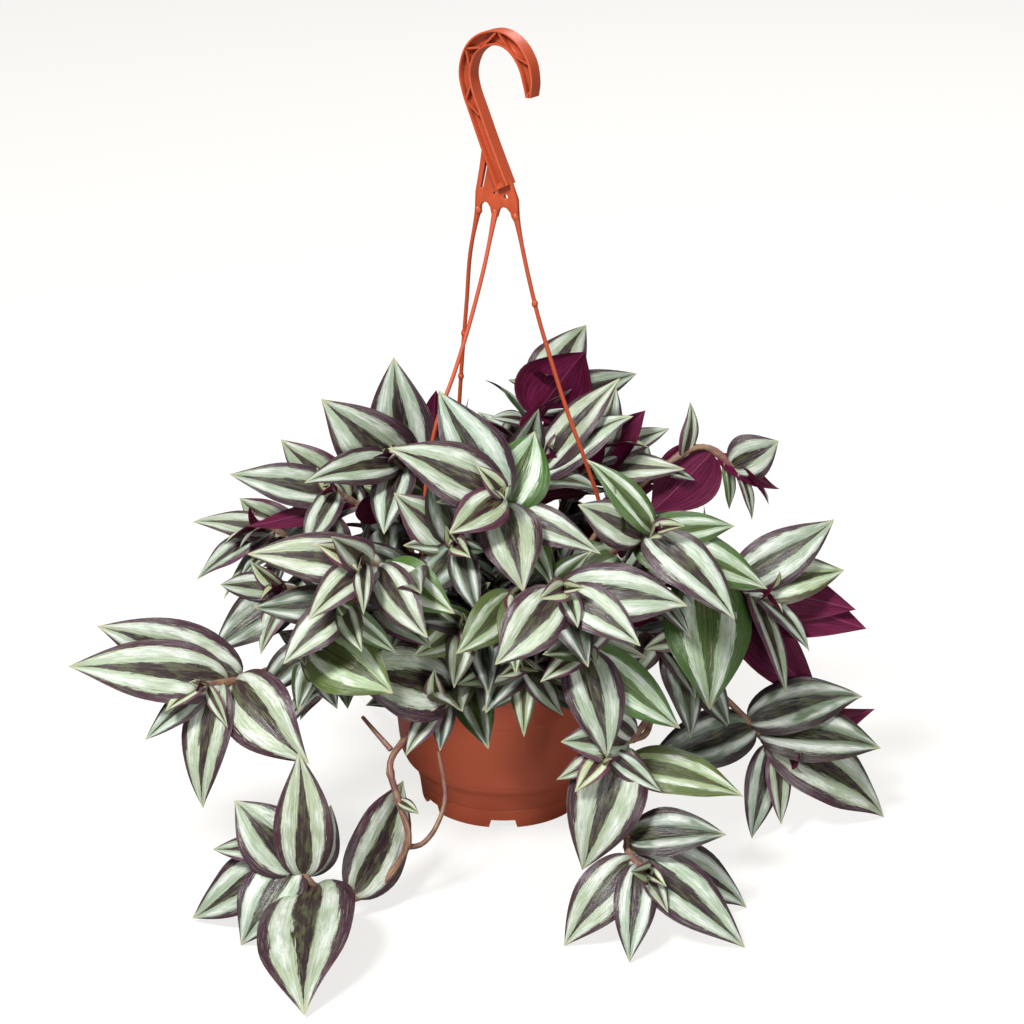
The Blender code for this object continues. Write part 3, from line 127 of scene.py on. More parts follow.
# Shoots placed one by one. tip is the growing point, face the way its leaves turn their upper side. Each leaf
# is the offset of its point from the growing point, then its width over its length, then a letter for its
# tone: s silver, g green, l lime, d dark, p purple, y cream, u turned over so that its purple underside
# shows. A leaf may end with a facing of its own. A path is the stem's line from the soil on. along names
# leaves part of the way up the stem, each with its place (0 to 1) first, and its point as an offset from
# there. spurs are bare side stems.
SHOOTS = [
    dict(name="crown_front", tip=(0, -95, 235), face=(0, -0.65, 0.75), leaves=[
        (30, -20, -45, 0.4, "g"), (55, -10, -30, 0.4, "s"), (20, 35, 25, 0.78, "g", (0.1, -0.95, 0.3)),
        (12, -38, -41, 0.6, "s"), (-37, 18, 55, 0.54, "s"), (-61, 5, 29, 0.52, "s"),
        (-28, -32, -10, 0.6, "p")]),
    dict(name="front_left", tip=(-77, -115, 203), face=(-0.25, -0.75, 0.6), leaves=[
        (50, -10, -25, 0.56, "g"), (-65, 5, 5, 0.4, "s"), (35, -35, -30, 0.44, "s"),
        (-30, -30, -20, 0.5, "s"), (-15, -22, 25, 0.5, "p"), (2, -30, -16, 0.35, "s")]),
    dict(name="centre_right", tip=(34, -135, 195), face=(0.1, -0.75, 0.65), leaves=[
        (68, 0, -5, 0.5, "s"), (-36, -25, -34, 0.6, "s"), (42, -25, -20, 0.5, "s"),
        (8, -22, -12, 0.5, "p")]),
    dict(name="right_front", tip=(86, -80, 207), face=(0.3, -0.7, 0.65), leaves=[
        (67, 0, -32, 0.48, "g"), (48, 25, -5, 0.42, "g"), (-42, 0, 18, 0.64, "s", (-0.1, -0.9, 0.4)),
        (46, -35, -37, 0.52, "s"), (-37, 20, 38, 0.38, "g")]),
    dict(name="trail_left", tip=(-169, -110, 125), face=(-0.3, -0.7, 0.65), leaves=[
        (-61, 15, 33, 0.44, "s"), (57, -35, -32, 0.6, "s"), (-75, -10, 18, 0.42, "s"),
        (-5, -25, -65, 0.42, "s"), (-34, -20, -25, 0.36, "s"), (14, -12, -20, 0.35, "p")],
        path=[(-40, -16, 120), (-88, -36, 124), (-140, -82, 119)], root=(-28, -8)),
    dict(name="trail_front", tip=(-124, -150, 42), face=(-0.3, -0.6, 0.75), leaves=[
        (13, 15, 55, 0.48, "s"), (-27, 6, 28, 0.72, "s"), (-22, -44, -39, 0.66, "s"),
        (-52, -15, -39, 0.5, "s"), (-39, -10, 4, 0.45, "p")],
        path=[(-23, -58, 106), (-30, -82, 103), (-46, -97, 92), (-64, -114, 85), (-63, -126, 77),
              (-58, -136, 59), (-54, -142, 40), (-67, -146, 19), (-84, -158, 13), (-98, -164, 20),
              (-109, -167, 30)], root=(-18, -44),
        spurs=[[(-55, -142, 38), (-46, -138, 38), (-38, -132, 46), (-33, -121, 60), (-37, -108, 82)],
                [(-64, -114, 86), (-73, -106, 93), (-81, -98, 99)]],
        along=[(0.885, (-2, -97, -18), 0.6, "s"), (0.925, (17, 14, 36), 0.66, "s", (0.3, -0.9, 0.3)),
                (0.795, (30, 60, 43), 0.52, "s", (0.5, -0.75, 0.4)), (0.52, (12, -10, -2), 0.5, "y")]),
    dict(name="front_right", tip=(46, -130, 156), face=(0.2, -0.8, 0.55), leaves=[
        (54, -5, -47, 0.42, "g"), (15, -25, -53, 0.55, "s"), (-24, -25, -6, 0.4, "p"),
        (20, 10, 24, 0.45, "s")]),
    dict(name="front_right_low", tip=(59, -140, 97), face=(0.1, -0.85, 0.5), leaves=[
        (-10, 0, 33, 0.45, "s"), (-26, -15, 16, 0.56, "p"), (-14, -25, -61, 0.6, "s"),
        (-28, -15, -9, 0.4, "p"), (30, -12, -18, 0.4, "s")],
        path=[(46, -50, 110), (74, -88, 112), (82, -116, 104)], root=(34, -34)),
    dict(name="trail_right", tip=(80, -172, 40), face=(0.1, -0.62, 0.78), leaves=[
        (45, 10, 19, 0.54, "d"), (63, 26, -36, 0.4, "s"), (56, -21, -38, 0.42, "s"),
        (-47, -16, -38, 0.5, "s"), (-11, -31, -38, 0.46, "s"), (12, -15, -17, 0.5, "s")],
        path=[(58, -46, 107), (80, -70, 102), (86, -90, 87), (68, -106, 84), (72, -118, 69), (73, -134, 58),
              (71, -158, 44)], root=(42, -20),
        along=[(0.66, (68, -16, -9), 0.45, "l")]),
    dict(name="right_low", tip=(168, -45, 45), face=(0.3, -0.6, 0.75), leaves=[
        (49, 16, 38, 0.48, "d"), (-85, -22, 5, 0.5, "d"), (60, -2, 10, 0.52, "d"), (72, 2, -42, 0.46, "s"),
        (-20, -24, -42, 0.42, "s"), (-2, -25, -32, 0.4, "p"), (12, -10, -14, 0.4, "y")],
        path=[(62, -22, 114), (96, -32, 110), (136, -40, 80)], root=(44, -6),
        along=[(0.95, (64, 24, 14), 0.34, "u")]),
    dict(name="right_mid", tip=(152, -28, 144), face=(0.6, -0.45, 0.65), leaves=[
        (-30, -40, -54, 0.64, "g", (0.1, -0.9, 0.4)), (66, 6, -24, 0.46, "u", (0.2, -0.9, 0.4)),
        (40, -4, -74, 0.36, "u", (0.3, -0.9, 0.3)), (59, 12, -13, 0.44, "u", (0.1, -0.8, 0.5)),
        (47, 15, 41, 0.46, "s"), (53, 0, 16, 0.5, "y"), (17, -32, -49, 0.32, "p"),
        (32, -20, -25, 0.4, "s")],
        path=[(66, 4, 134), (112, -10, 154)], root=(38, 2)),
    dict(name="right_small", tip=(112, -42, 125), face=(0.2, -0.7, 0.6), leaves=[
        (26, -4, -59, 0.42, "d"), (1, -6, -62, 0.46, "d"), (3, 4, 22, 0.9, "d", (0.1, -0.95, 0.3)),
        (7, -22, -14, 0.5, "p"), (-29, -22, 1, 0.42, "p")]),
    dict(name="right_high", tip=(144, 40, 198), face=(0.5, -0.5, 0.7), leaves=[
        (25, 0, -14, 0.4, "u"), (-5, -5, -24, 0.4, "g"), (24, -4, 20, 0.9, "s", (0.3, -0.9, 0.3)),
        (9, -15, -26, 0.34, "p")],
        path=[(52, 18, 158), (94, 34, 200), (124, 40, 214)], root=(26, 10),
        along=[(0.9, (-36, -10, -36), 0.78, "u", (0.1, -0.95, 0.3)), (0.72, (22, -2, -6), 0.4, "s"),
               (0.8, (6, 4, 34), 0.4, "p")]),
    dict(name="crown_left", tip=(-65, -30, 232), face=(-0.3, -0.6, 0.75), leaves=[
        (35, 20, 12, 0.45, "s"), (1, 12, 58, 0.56, "s"), (-37, -8, 40, 0.62, "s"), (-4, -42, -29, 0.5, "s"),
        (-47, -36, 3, 0.36, "s"), (8, -22, 16, 0.4, "p")]),
    dict(name="left_high", tip=(-99, -20, 208), face=(-0.5, -0.5, 0.7), leaves=[
        (-20, 40, 12, 0.45, "s"), (-52, -12, -19, 0.3, "u"), (-33, 14, 27, 0.52, "p"),
        (-62, 0, 11, 0.4, "s"), (-16, -26, -26, 0.5, "s")]),
    dict(name="left_far", tip=(-142, -10, 181), face=(-0.7, -0.4, 0.6), leaves=[
        (-20, 36, 4, 0.45, "p"), (6, -30, -30, 0.45, "d"), (-26, -22, -35, 0.42, "p"),
        (-43, 0, 6, 0.38, "s"), (-42, -10, -28, 0.46, "p"), (-12, -26, 0, 0.4, "p")]),
    dict(name="crown_back", tip=(23, 60, 242), face=(0.1, -0.45, 0.9), leaves=[
        (-30, -20, -8, 0.46, "s"), (26, -12, 32, 0.86, "u", (0.1, -0.95, 0.3)), (64, 0, 14, 0.4, "s"),
        (28, 20, 38, 0.62, "s"), (-20, 14, 4, 0.5, "p")]),
    dict(name="crown_right", tip=(27, 20, 211), face=(0.3, -0.55, 0.75), leaves=[
        (30, -28, -4, 0.45, "d"), (48, 0, 34, 0.42, "s"), (43, 12, 50, 0.42, "s"),
        (-24, -22, 8, 0.42, "d")]),
    dict(name="crown_far_right", tip=(62, 44, 210), face=(0.4, -0.4, 0.8), leaves=[
        (48, -6, -10, 0.45, "s"), (25, 4, 25, 0.6, "u"), (41, 12, 10, 0.4, "s"), (8, 24, 32, 0.45, "s"),
        (20, -20, -24, 0.5, "u")]),
    dict(name="front_crown_low", tip=(-26, -82, 200), face=(-0.3, -0.8, 0.5), leaves=[
        (-36, 12, 26, 0.58, "p"), (-15, 12, 42, 0.5, "d"), (-26, -20, -26, 0.62, "d"),
        (12, -22, -32, 0.46, "d"), (16, -20, 4, 0.4, "d")]),
    dict(name="front_left_low", tip=(-93, -110, 176), face=(-0.3, -0.85, 0.4), leaves=[
        (-48, 6, -6, 0.42, "d"), (-30, -20, -27, 0.5, "s"), (15, -24, -18, 0.5, "y"),
        (34, -16, -24, 0.4, "g")]),
    dict(name="left_green", tip=(-112, -96, 146), face=(0.0, -0.8, 0.6), leaves=[
        (-30, 0, -34, 0.45, "d"), (50, -34, -14, 0.7, "l"), (18, -18, -34, 0.45, "d")]),
    dict(name="left_olive", tip=(-128, -52, 160), face=(-0.5, -0.7, 0.5), leaves=[
        (-43, -16, -32, 0.56, "d"), (-14, -26, -30, 0.45, "p"), (-40, 14, -4, 0.42, "s")]),
    dict(name="front_dark", tip=(-35, -92, 106), face=(-0.1, -0.75, 0.65), leaves=[
        (-57, -34, 36, 0.6, "s"), (-1, -16, -24, 0.45, "d"), (-22, -14, -26, 0.4, "p")]),
    dict(name="centre_low", tip=(8, -108, 180), face=(0, -0.85, 0.45), leaves=[
        (26, -14, -22, 0.42, "d"), (-32, -26, -24, 0.52, "l"), (-2, -26, -36, 0.46, "l"),
        (18, -24, 6, 0.36, "s")]),
    dict(name="centre_low_left", tip=(-20, -100, 158), face=(-0.2, -0.9, 0.35), leaves=[
        (-30, -14, -14, 0.56, "l"), (-20, 2, 14, 0.5, "g"), (-8, -18, -30, 0.5, "y")]),
    dict(name="centre_hang", tip=(12, -98, 134), face=(0, -0.9, 0.35), leaves=[
        (-22, -12, -26, 0.62, "y"), (0, -14, -40, 0.36, "y"), (22, -14, -28, 0.42, "s"),
        (-38, -6, -12, 0.42, "y")]),
]

# Shoots set by rule around the rest of the clump. TIERS: how many, first and last bearing, reach from the
# axis, height, leaves, their length. TRAILS: bearing, reach, height of the growing point, leaves, their
# length. Bearings are in degrees from +X towards +Y. TRAIL_WAY is the reach and height of points over the
# collar and down.
TIERS = [
    (2, 50, 140, 42, 214, 5, 60),
    (4, 22, 162, 102, 188, 4, 62),
    (5, 8, 172, 134, 142, 4, 62),
    (2, 62, 118, 116, 98, 4, 56),
    (1, 170, 196, 100, 150, 4, 52),
    (3, 222, 312, 62, 156, 5, 46),
    (2, 332, 352, 108, 165, 4, 50),
    (1, 186, 216, 116, 112, 4, 50),
]
TRAILS = [(98, 220, 15, 5, 56), (66, 202, 24, 4, 54), (124, 208, 22, 4, 54)]
TRAIL_WAY, TRAIL_ROOT = [(60, 106), (74, 104), (86, 84), (94, 52), (112, 22), (150, 10)], 47


def unit(v):
    """v made one long."""
    v = np.asarray(v, float)
    return v / max(float(np.linalg.norm(v)), 1e-9)


def directions(line):
    """The direction of a line at each of its points."""
    along = np.gradient(line, axis=0)
    return along / np.linalg.norm(along, axis=1)[:, None]


def distances(line):
    """How far along the line each of its points is."""
    return np.concatenate([[0], np.cumsum(np.linalg.norm(np.diff(line, axis=0), axis=1))])


def bearings(count):
    """Equal turns round a circle, as angles in radians."""
    return np.arange(count) * 2 * math.pi / count


def smooth_path(points, count):
    """Evenly spaced points on the Catmull-Rom curve through the given points."""
    p = np.asarray(points, float)
    p = np.vstack([2 * p[0] - p[1], p, 2 * p[-1] - p[-2]])
    t = np.linspace(0, 1, 12, endpoint=False)[:, None]
    runs = [0.5 * (2 * b + (c - a) * t + (2 * a - 5 * b + 4 * c - d) * t**2 + (3 * b - a - 3 * c + d) * t**3)
            for a, b, c, d in zip(p[:-3], p[1:-2], p[2:-1], p[3:])]
    line = np.vstack(runs + [p[-2:-1]])
    gone = distances(line)
    at = np.linspace(0, gone[-1], count)
    return np.column_stack([np.interp(at, gone, line[:, k]) for k in range(3)])


def half_width(u):
    """A blade's half width at u over its greatest: a rounded base, widest at 0.38, a drawn-out point."""
    u = np.clip(u, 0, 1)
    body = np.sin(np.pi * u**0.72) ** (0.6 + 0.4 * u)
    return np.maximum(body, 0.05 * (1 - u) ** 2)


def blade_surface(leaf, us, vs):
    """Points and upward normals of a blade's middle surface, over us along it and vs (-1 to 1) across it.

    The midrib runs base + chord u + up bow length f(u), f(u) = u^0.8 (1-u)^1.2 scaled to 1. The blade turns
    about it by twist u. Across, a half width w stands up from the midrib by w (fold |v| - curl v^2).
    """
    us, vs = np.asarray(us, float), np.asarray(vs, float)
    base, chord, up = leaf["base"], leaf["chord"], leaf["up"]
    length = np.linalg.norm(chord)
    f = us**0.8 * (1 - us) ** 1.2 / BOW_PEAK
    spine = base + chord * us[:, None] + up * (leaf["bow"] * length * f)[:, None]
    along = directions(spine)
    side = unit(np.cross(chord, up))
    turn = leaf["twist"] * us
    lift = np.cross(side, along)
    lift /= np.linalg.norm(lift, axis=1)[:, None]
    across = side * np.cos(turn)[:, None] + lift * np.sin(turn)[:, None]
    normal = np.cross(across, along)
    w = leaf["wide"] * half_width(us)
    rise = w[:, None] * (leaf["fold"] * np.abs(vs) - leaf["curl"] * vs**2)[None, :]
    points = spine[:, None] + across[:, None] * (w[:, None] * vs)[..., None]
    points = points + normal[:, None] * rise[..., None]
    return points, np.broadcast_to(normal[:, None], points.shape)


def blade_mesh(leaf, thick=BLADE):
    """Vertices and faces of a blade: a lens at each section, closed at the base, a point at the end."""
    sections = leaf["sections"]
    points, normal = blade_surface(leaf, sections, (-1.0, 0.0, 1.0))
    half = 0.5 * thick
    verts = []
    for i in range(len(sections) - 1):
        left, mid, right = points[i]
        n = normal[i, 1]
        verts += [left, mid + n * half, right, mid - n * half]
    verts.append(points[-1, 1])
    faces = [(0, 1, 3), (1, 2, 3)]
    rings = len(sections) - 1
    for i in range(rings - 1):
        for j in range(4):
            a, b = 4 * i + j, 4 * i + (j + 1) % 4
            faces += [(a, a + 4, b + 4), (a, b + 4, b)] if j in (0, 2) else [(a, a + 4, b),
                                                                (b, a + 4, b + 4)]
    for j in range(4):
        faces.append((4 * rings - 4 + j, 4 * rings, 4 * rings - 4 + (j + 1) % 4))
    return np.array(verts), faces


# ---- the leafy stems: lines and blades ----
class Taken:
    """What is in place so far. Each entry has a box, a search tree and the name of the piece it belongs
    to. A blade has a second tree too, of its part beyond the first section."""

    def __init__(self):
        self.low, self.high, self.trees, self.owners, self.outer = [], [], [], [], []

    def add(self, verts, faces, owner, outer=None):
        self.low.append(verts.min(axis=0))
        self.high.append(verts.max(axis=0))
        self.trees.append(BVHTree.FromPolygons(verts.tolist(), faces))
        self.owners.append(owner)
        self.outer.append(outer)

    def meets(self, verts, faces, owner, outer_faces=None):
        """True where the mesh crosses another piece, or its outer part crosses an outer part of its own
        piece."""
        low, high = verts.min(axis=0), verts.max(axis=0)
        beside = (np.array(self.low) < high) & (np.array(self.high) > low)
        near = np.flatnonzero(beside.all(axis=1))
        if not len(near):
            return False
        tree = BVHTree.FromPolygons(verts.tolist(), faces)
        outer_tree = None
        for i in near:
            if self.owners[i] != owner:
                if tree.overlap(self.trees[i]):
                    return True
            elif outer_faces is not None and self.outer[i] is not None:
                if outer_tree is None:
                    outer_tree = BVHTree.FromPolygons(verts.tolist(), outer_faces)
                if outer_tree.overlap(self.outer[i]):
                    return True
        return False


def outer_faces_of(faces):
    """The faces of a blade beyond its first section."""
    return [f for f in faces if min(f) >= 4]


def beside(d):
    """A direction square to d."""
    return unit(np.cross(d, (0.31, 0.95, 0.02) if abs(d[2]) > 0.5 else (0.05, 0.02, 1.0)))


def tube_mesh(line, radius, sides=6):
    """The wall of a tube about a line, open at its ends, for the search tree."""
    line = np.asarray(line, float)
    angles = bearings(sides)
    verts = []
    for p, d in zip(line, directions(line)):
        a = beside(d)
        b = np.cross(d, a)
        verts += [p + radius * (a * math.cos(t) + b * math.sin(t)) for t in angles]
    faces = []
    for i in range(len(line) - 1):
        for j in range(sides):
            a, b = sides * i + j, sides * i + (j + 1) % sides
            faces.append((a, b, b + sides, a + sides))
    return np.array(verts), faces


def guards():
    """What leaves keep clear of besides each other: the pot's wall, the strands and clips, and apart, the
    soil."""
    sides, n, room = GUARD_SIDES, len(POT_ROOM), GUARD_ROOM
    angles = bearings(sides)
    verts = [(r * math.cos(t), r * math.sin(t), z) for t in angles for r, z in POT_ROOM]
    faces = [(i * n + j, i * n + j + 1, (i + 1) % sides * n + j + 1, (i + 1) % sides * n + j)
             for i in range(sides) for j in range(n - 1)]
    found = [(np.array(verts), faces)]
    wide = 0.5 * CLIP_WIDTH + room
    sheets = [(0, 1, 3, 2), (4, 6, 7, 5), (0, 4, 5, 1), (2, 3, 7, 6), (0, 2, 6, 4), (1, 5, 7, 3)]
    for strand in STRANDS:
        found.append(tube_mesh(strand_line(strand), STRAND_RADIUS + room))
        x, y, _ = strand[-1]
        out = unit((x, y, 0))
        across = np.array([-out[1], out[0], 0])
        corners = [out * r + across * w + np.array([0, 0, z]) for r in (CLIP_IN - room, CLIP_OUT + room)
                   for w in (-wide, wide) for z in (CLIP_LOW - room, CLIP_HIGH + room)]
        found.append((np.array(corners), sheets))
    half = 0.7 * SOIL_REACH
    soil = [(x * half, y * half, SOIL_TOP + 1) for x, y in ((-1, -1), (1, -1), (1, 1), (-1, 1))]
    return found, (np.array(soil), [(0, 1, 2, 3)])


def strand_line(strand):
    """A strand's centre line, from the plate to its clip. Its first point is given in the hook's plane."""
    return smooth_path([hook_place(strand[0]), *strand[1:]], 10)


def hook_place(p):
    """A point of the hook's own plane (x across, y through, z up) in the plant's frame."""
    x, y, z = p
    return np.array([x * math.cos(HOOK_TURN) - y * math.sin(HOOK_TURN),
                     x * math.sin(HOOK_TURN) + y * math.cos(HOOK_TURN), z])


def root_places():
    """The holes that stems may stand in, on a sunflower spiral over the soil."""
    reach = [SOIL_REACH * math.sqrt((i + 0.5) / ROOT_PLACES) for i in range(ROOT_PLACES)]
    return [(r * math.cos(i * GOLDEN), r * math.sin(i * GOLDEN)) for i, r in enumerate(reach)]


def curved_line(root, tip, grow, rise, run, count):
    """A cubic that leaves the soil straight up and arrives at the growing point along grow."""
    a = np.array([root[0], root[1], SOIL_TOP + ROOT_RISE])
    reach = np.linalg.norm(tip - a)
    b, c = a + np.array([0, 0, rise * reach]), tip - grow * run * reach
    t = np.linspace(0, 1, count)[:, None]
    line = (1 - t) ** 3 * a + 3 * (1 - t) ** 2 * t * b + 3 * (1 - t) * t**2 * c + t**3 * tip
    return np.vstack([[root[0], root[1], SOIL_TOP - HOLE_DEPTH + 0.5], line])


def dense(line, step=2.0):
    """The line with more points, no two of them much more than step apart."""
    parts = []
    for a, b in zip(line[:-1], line[1:]):
        n = max(1, int(np.linalg.norm(b - a) / step))
        parts.append(a + (b - a) * np.linspace(0, 1, n, endpoint=False)[:, None])
    return np.vstack(parts + [line[-1:]])


def line_clear(line, placed, solids):
    """True where a stem on this line keeps its room from the stems in place and from the pot and hanger."""
    points = dense(line)
    for other in placed:
        gap = np.linalg.norm(points[:, None] - other[None], axis=2)
        if gap.min() < STEM_ROOM:
            return False
    beyond = points[8:]
    return all(tree.find_nearest(Vector(p), STEM_RADIUS + 0.6)[0] is None for tree in solids for p in beyond)


def tier_shoots():
    """The shoots set by rule: rosettes in rings and trailing ones behind, leaves a golden angle apart."""
    rng = random.Random(11)
    shoots = []
    for number, (count, first, last, reach, height, leaves, length) in enumerate(TIERS):
        for i in range(count):
            bearing = math.radians(first + (last - first) * (i + 0.5) / count + rng.uniform(-4, 4))
            r, h = reach * rng.uniform(0.92, 1.08), height + rng.uniform(-9, 9)
            out = np.array([math.cos(bearing), math.sin(bearing), 0])
            tip = out * r + np.array([0, 0, h])
            face = unit(out * (0.75 if height < 200 else 0.35) + np.array([0, 0, 0.75]))
            shoots.append(dict(name=f"ring_{number + 1}_{i + 1}", tip=tip, face=face, count=leaves,
                               length=length, phase=rng.uniform(0, 2 * math.pi)))
    for i, (bearing, reach, height, leaves, length) in enumerate(TRAILS):
        a = math.radians(bearing)
        out = np.array([math.cos(a), math.sin(a), 0])
        floor_reach, floor_height = TRAIL_WAY[-1]
        way = [*TRAIL_WAY, ((floor_reach + reach) / 2, floor_height)]
        path = [out * r + np.array([0, 0, h]) for r, h in way]
        shoots.append(dict(name=f"trail_back_{i + 1}", tip=out * reach + np.array([0, 0, height]),
                           face=unit(out * 0.5 + np.array([0, 0, 0.9])), count=leaves, length=length,
                           path=path, phase=rng.uniform(0, 2 * math.pi), root=tuple(out[:2] * TRAIL_ROOT)))
    for shoot in shoots:
        shoot["leaves"] = rule_leaves(shoot, rng)
        shoot["rule"] = True
    return shoots


def rule_leaves(shoot, rng):
    """A rosette's leaves, in the form that a shoot's list has. The first are the oldest, spread widest and
    droop."""
    face = shoot["face"]
    e1 = unit(np.cross(face, (0, 0, 1)) if abs(face[2]) < 0.95 else (1, 0, 0))
    e2 = np.cross(face, e1)
    leaves = []
    for k in range(shoot["count"]):
        age = 1 - k / (shoot["count"] - 1)
        spread = math.radians(34 + 50 * age + rng.uniform(-6, 6))
        clock = shoot["phase"] + k * GOLDEN
        way = math.cos(spread) * face + math.sin(spread) * (math.cos(clock) * e1 + math.sin(clock) * e2)
        way = unit(way - np.array([0, 0, 0.3 * age]))
        size = shoot["length"] * (0.58 + 0.42 * age) * rng.uniform(0.92, 1.08)
        floor = 2 - shoot["tip"][2]
        way = way * size
        way[2] = max(way[2], floor)
        tone = rng.choices("sgdpyu", (60, 12, 8, 10, 4, 6))[0]
        leaves.append((way[0], way[1], way[2], rng.uniform(0.42, 0.52), tone))
    return leaves


def turned(v, axis, angle):
    """v turned about a unit axis (Rodrigues)."""
    c, s = math.cos(angle), math.sin(angle)
    return v * c + np.cross(axis, v) * s + axis * np.dot(axis, v) * (1 - c)


def make_leaf(base, chord, face, ratio, tone, rng):
    """One blade's sizes and form. A turned-over one, tone u, has its upper side away from face."""
    up = unit(face - chord * np.dot(face, chord) / np.dot(chord, chord))
    if tone == "u":
        up = -up
    bow = (BOW if tone != "u" else BOW_TURNED) + rng.uniform(-0.03, 0.04)
    twist = rng.uniform(-TWIST, TWIST)
    fold = FOLD + rng.uniform(-0.06, 0.1)
    return dict(base=base, chord=chord, up=up, wide=0.5 * ratio * np.linalg.norm(chord), tone=tone, bow=bow,
                twist=twist, fold=fold, curl=CURL, seed=rng.random(), sections=SECTIONS)


def tries(rule):
    """Turns of a blade to try, the smallest first: (lift, swing, size), angles in radians. Wider ones by
    rule."""
    lifts = (0, -10, 10, -20, 20, -32, 32, -46, 46) if rule else (0, -7, 7, -14, 14, -22, 22, -30, 30)
    swings = (0, -12, 12, -26, 26, -42, 42) if rule else (0, -6, 6, -12, 12)
    sizes = (1, 0.85, 0.7, 0.56) if rule else (1, 0.92, 0.84)
    found = [(abs(a) / 12 + abs(b) / 9 + (1 - c) * 9, math.radians(a), math.radians(b), c)
             for a in lifts for b in swings for c in sizes]
    return [t[1:] for t in sorted(found)]


def nudges():
    """Shifts of a blade's point, the least change of the front view first: forth, aside, up, roll, width."""
    found = []
    for forth in (0, -5, 5, -10, 10, -16, 16, -24, 24):
        for aside, rise in ((0, 0), (3, 0), (-3, 0), (0, 3), (0, -3), (7, 0), (-7, 0), (0, 7), (0, -7)):
            for roll in (0, -14, 14, -28, 28):
                for width in (1, 0.86):
                    cost = abs(forth) / 6 + math.hypot(aside, rise) / 1.6 + abs(roll) / 16 + (1 - width) * 10
                    found.append((cost, forth, aside, rise, math.radians(roll), width))
    return [t[1:] for t in sorted(found)]


def squared(v, to):
    """v made square to a direction, one long."""
    return unit(v - to * np.dot(v, to) / np.dot(to, to))


def nudged(wish, options):
    """The leaf with its point shifted in each of the ways that nudges gives."""
    chord, up = wish["chord"], wish["up"]
    for forth, aside, rise, roll, width in options:
        new = chord + forth * FORTH + rise * RISE + np.array([aside, 0, 0])
        yield dict(wish, chord=new, up=turned(squared(up, new), unit(new), roll), wide=wish["wide"] * width)


def turns(wish, options):
    """The leaf turned about its base in each of the ways that tries gives."""
    chord, up = wish["chord"], wish["up"]
    side = unit(np.cross(chord, up))
    for lift, swing, size in options:
        new = turned(turned(chord, side, -lift), up, swing) * size
        yield dict(wish, chord=new, up=squared(turned(up, side, -lift), new), wide=wish["wide"] * size)


def place_leaf(attempts, taken, owner, strict):
    """The first of the attempts at a leaf that clears what is in place. None where none does."""
    for leaf in attempts:
        verts, faces = blade_mesh(leaf, BLADE + 2 * CLEAR)
        if verts[:, 2].min() < FLOOR:
            continue
        if not taken.meets(verts, faces, owner, outer_faces_of(faces) if strict else None):
            return leaf
    return None


def path_line(shoot):
    """A stem's line through its own path, standing straight in its hole."""
    x, y = shoot["root"]
    count = 8 if len(shoot["path"]) < 5 else 13
    top = np.array([x, y, SOIL_TOP + ROOT_RISE])
    line = smooth_path([top, top + (0, 0, 5), *np.array(shoot["path"], float), shoot["tip"]], count)
    return np.vstack([[x, y, SOIL_TOP - HOLE_DEPTH + 0.5], line])


def free_line(shoot, places, used, placed, solids):
    """The first curve from a free hole to the growing point that clears what stands. None where none does."""
    tip = shoot["tip"]
    flat = np.array([tip[0], tip[1], 0])
    out = flat / max(np.linalg.norm(flat), 1e-6)
    grow = unit(shoot["face"] * 0.7 + out * 0.5 + np.array([0, 0, 0.15]))
    wanted = out * min(max(0.45 * np.linalg.norm(flat) - 0.12 * (tip[2] - 100) + 10, 3), 50)
    near = sorted(places, key=lambda p: math.dist(p, wanted[:2]))
    near = [p for p in near if all(math.dist(p, q) > ROOT_GAP for q in used)][:16]
    for rise, run in ((0.45, 0.35), (0.6, 0.3), (0.3, 0.45), (0.7, 0.15)):
        for place in near:
            line = curved_line(place, tip, grow, rise, run, 7)
            if line_clear(line, placed, solids):
                return line
    return None


def stem_wishes(stem, rng):
    """The leaves wanted on a stem, as (rank, stem, leaf): 0 listed, 1 by rule, 2 a spare one lower
    down."""
    shoot, line = stem["shoot"], stem["line"]
    fine = dense(line, 0.5)
    gone = distances(fine)
    leaves, rule = shoot["leaves"], shoot.get("rule", False)

    def at_length(length):
        return np.array([np.interp(length, gone, fine[:, k]) for k in range(3)])

    wishes = []
    for at, offset, ratio, tone, *own in shoot.get("along", []):
        face = unit(own[0]) if own else shoot["face"]
        leaf = make_leaf(at_length(at * gone[-1]), np.array(offset, float), face, ratio, tone, rng)
        wishes.append((0, stem, leaf))
    step = RULE_STEP if rule else OLD_STEP
    for k, (dx, dy, dz, ratio, tone, *own) in enumerate(leaves):
        face = unit(own[0]) if own else shoot["face"]
        base = at_length(gone[-1] - LAST_LEAF - (len(leaves) - 1 - k) * step)
        chord = shoot["tip"] + np.array([dx, dy, dz]) - base
        wishes.append((int(rule), stem, make_leaf(base, chord, face, ratio, tone, rng)))
    if "path" not in shoot:
        ahead = unit(line[-1] - line[-2])
        swing = unit(np.cross(ahead, (0, 0, 1))) * (1 if stem["order"] % 2 else -1)
        chord = unit(swing * 0.9 + ahead * 0.4 - np.array([0, 0, 0.25])) * rng.uniform(44, 58)
        leaf = make_leaf(at_length(SPARE_LEAF * gone[-1]), chord, unit(shoot["face"] + (0, 0, 0.4)),
                         rng.uniform(0.42, 0.5), rng.choice("sssgdp"), rng)
        wishes.append((2, stem, leaf))
    return wishes


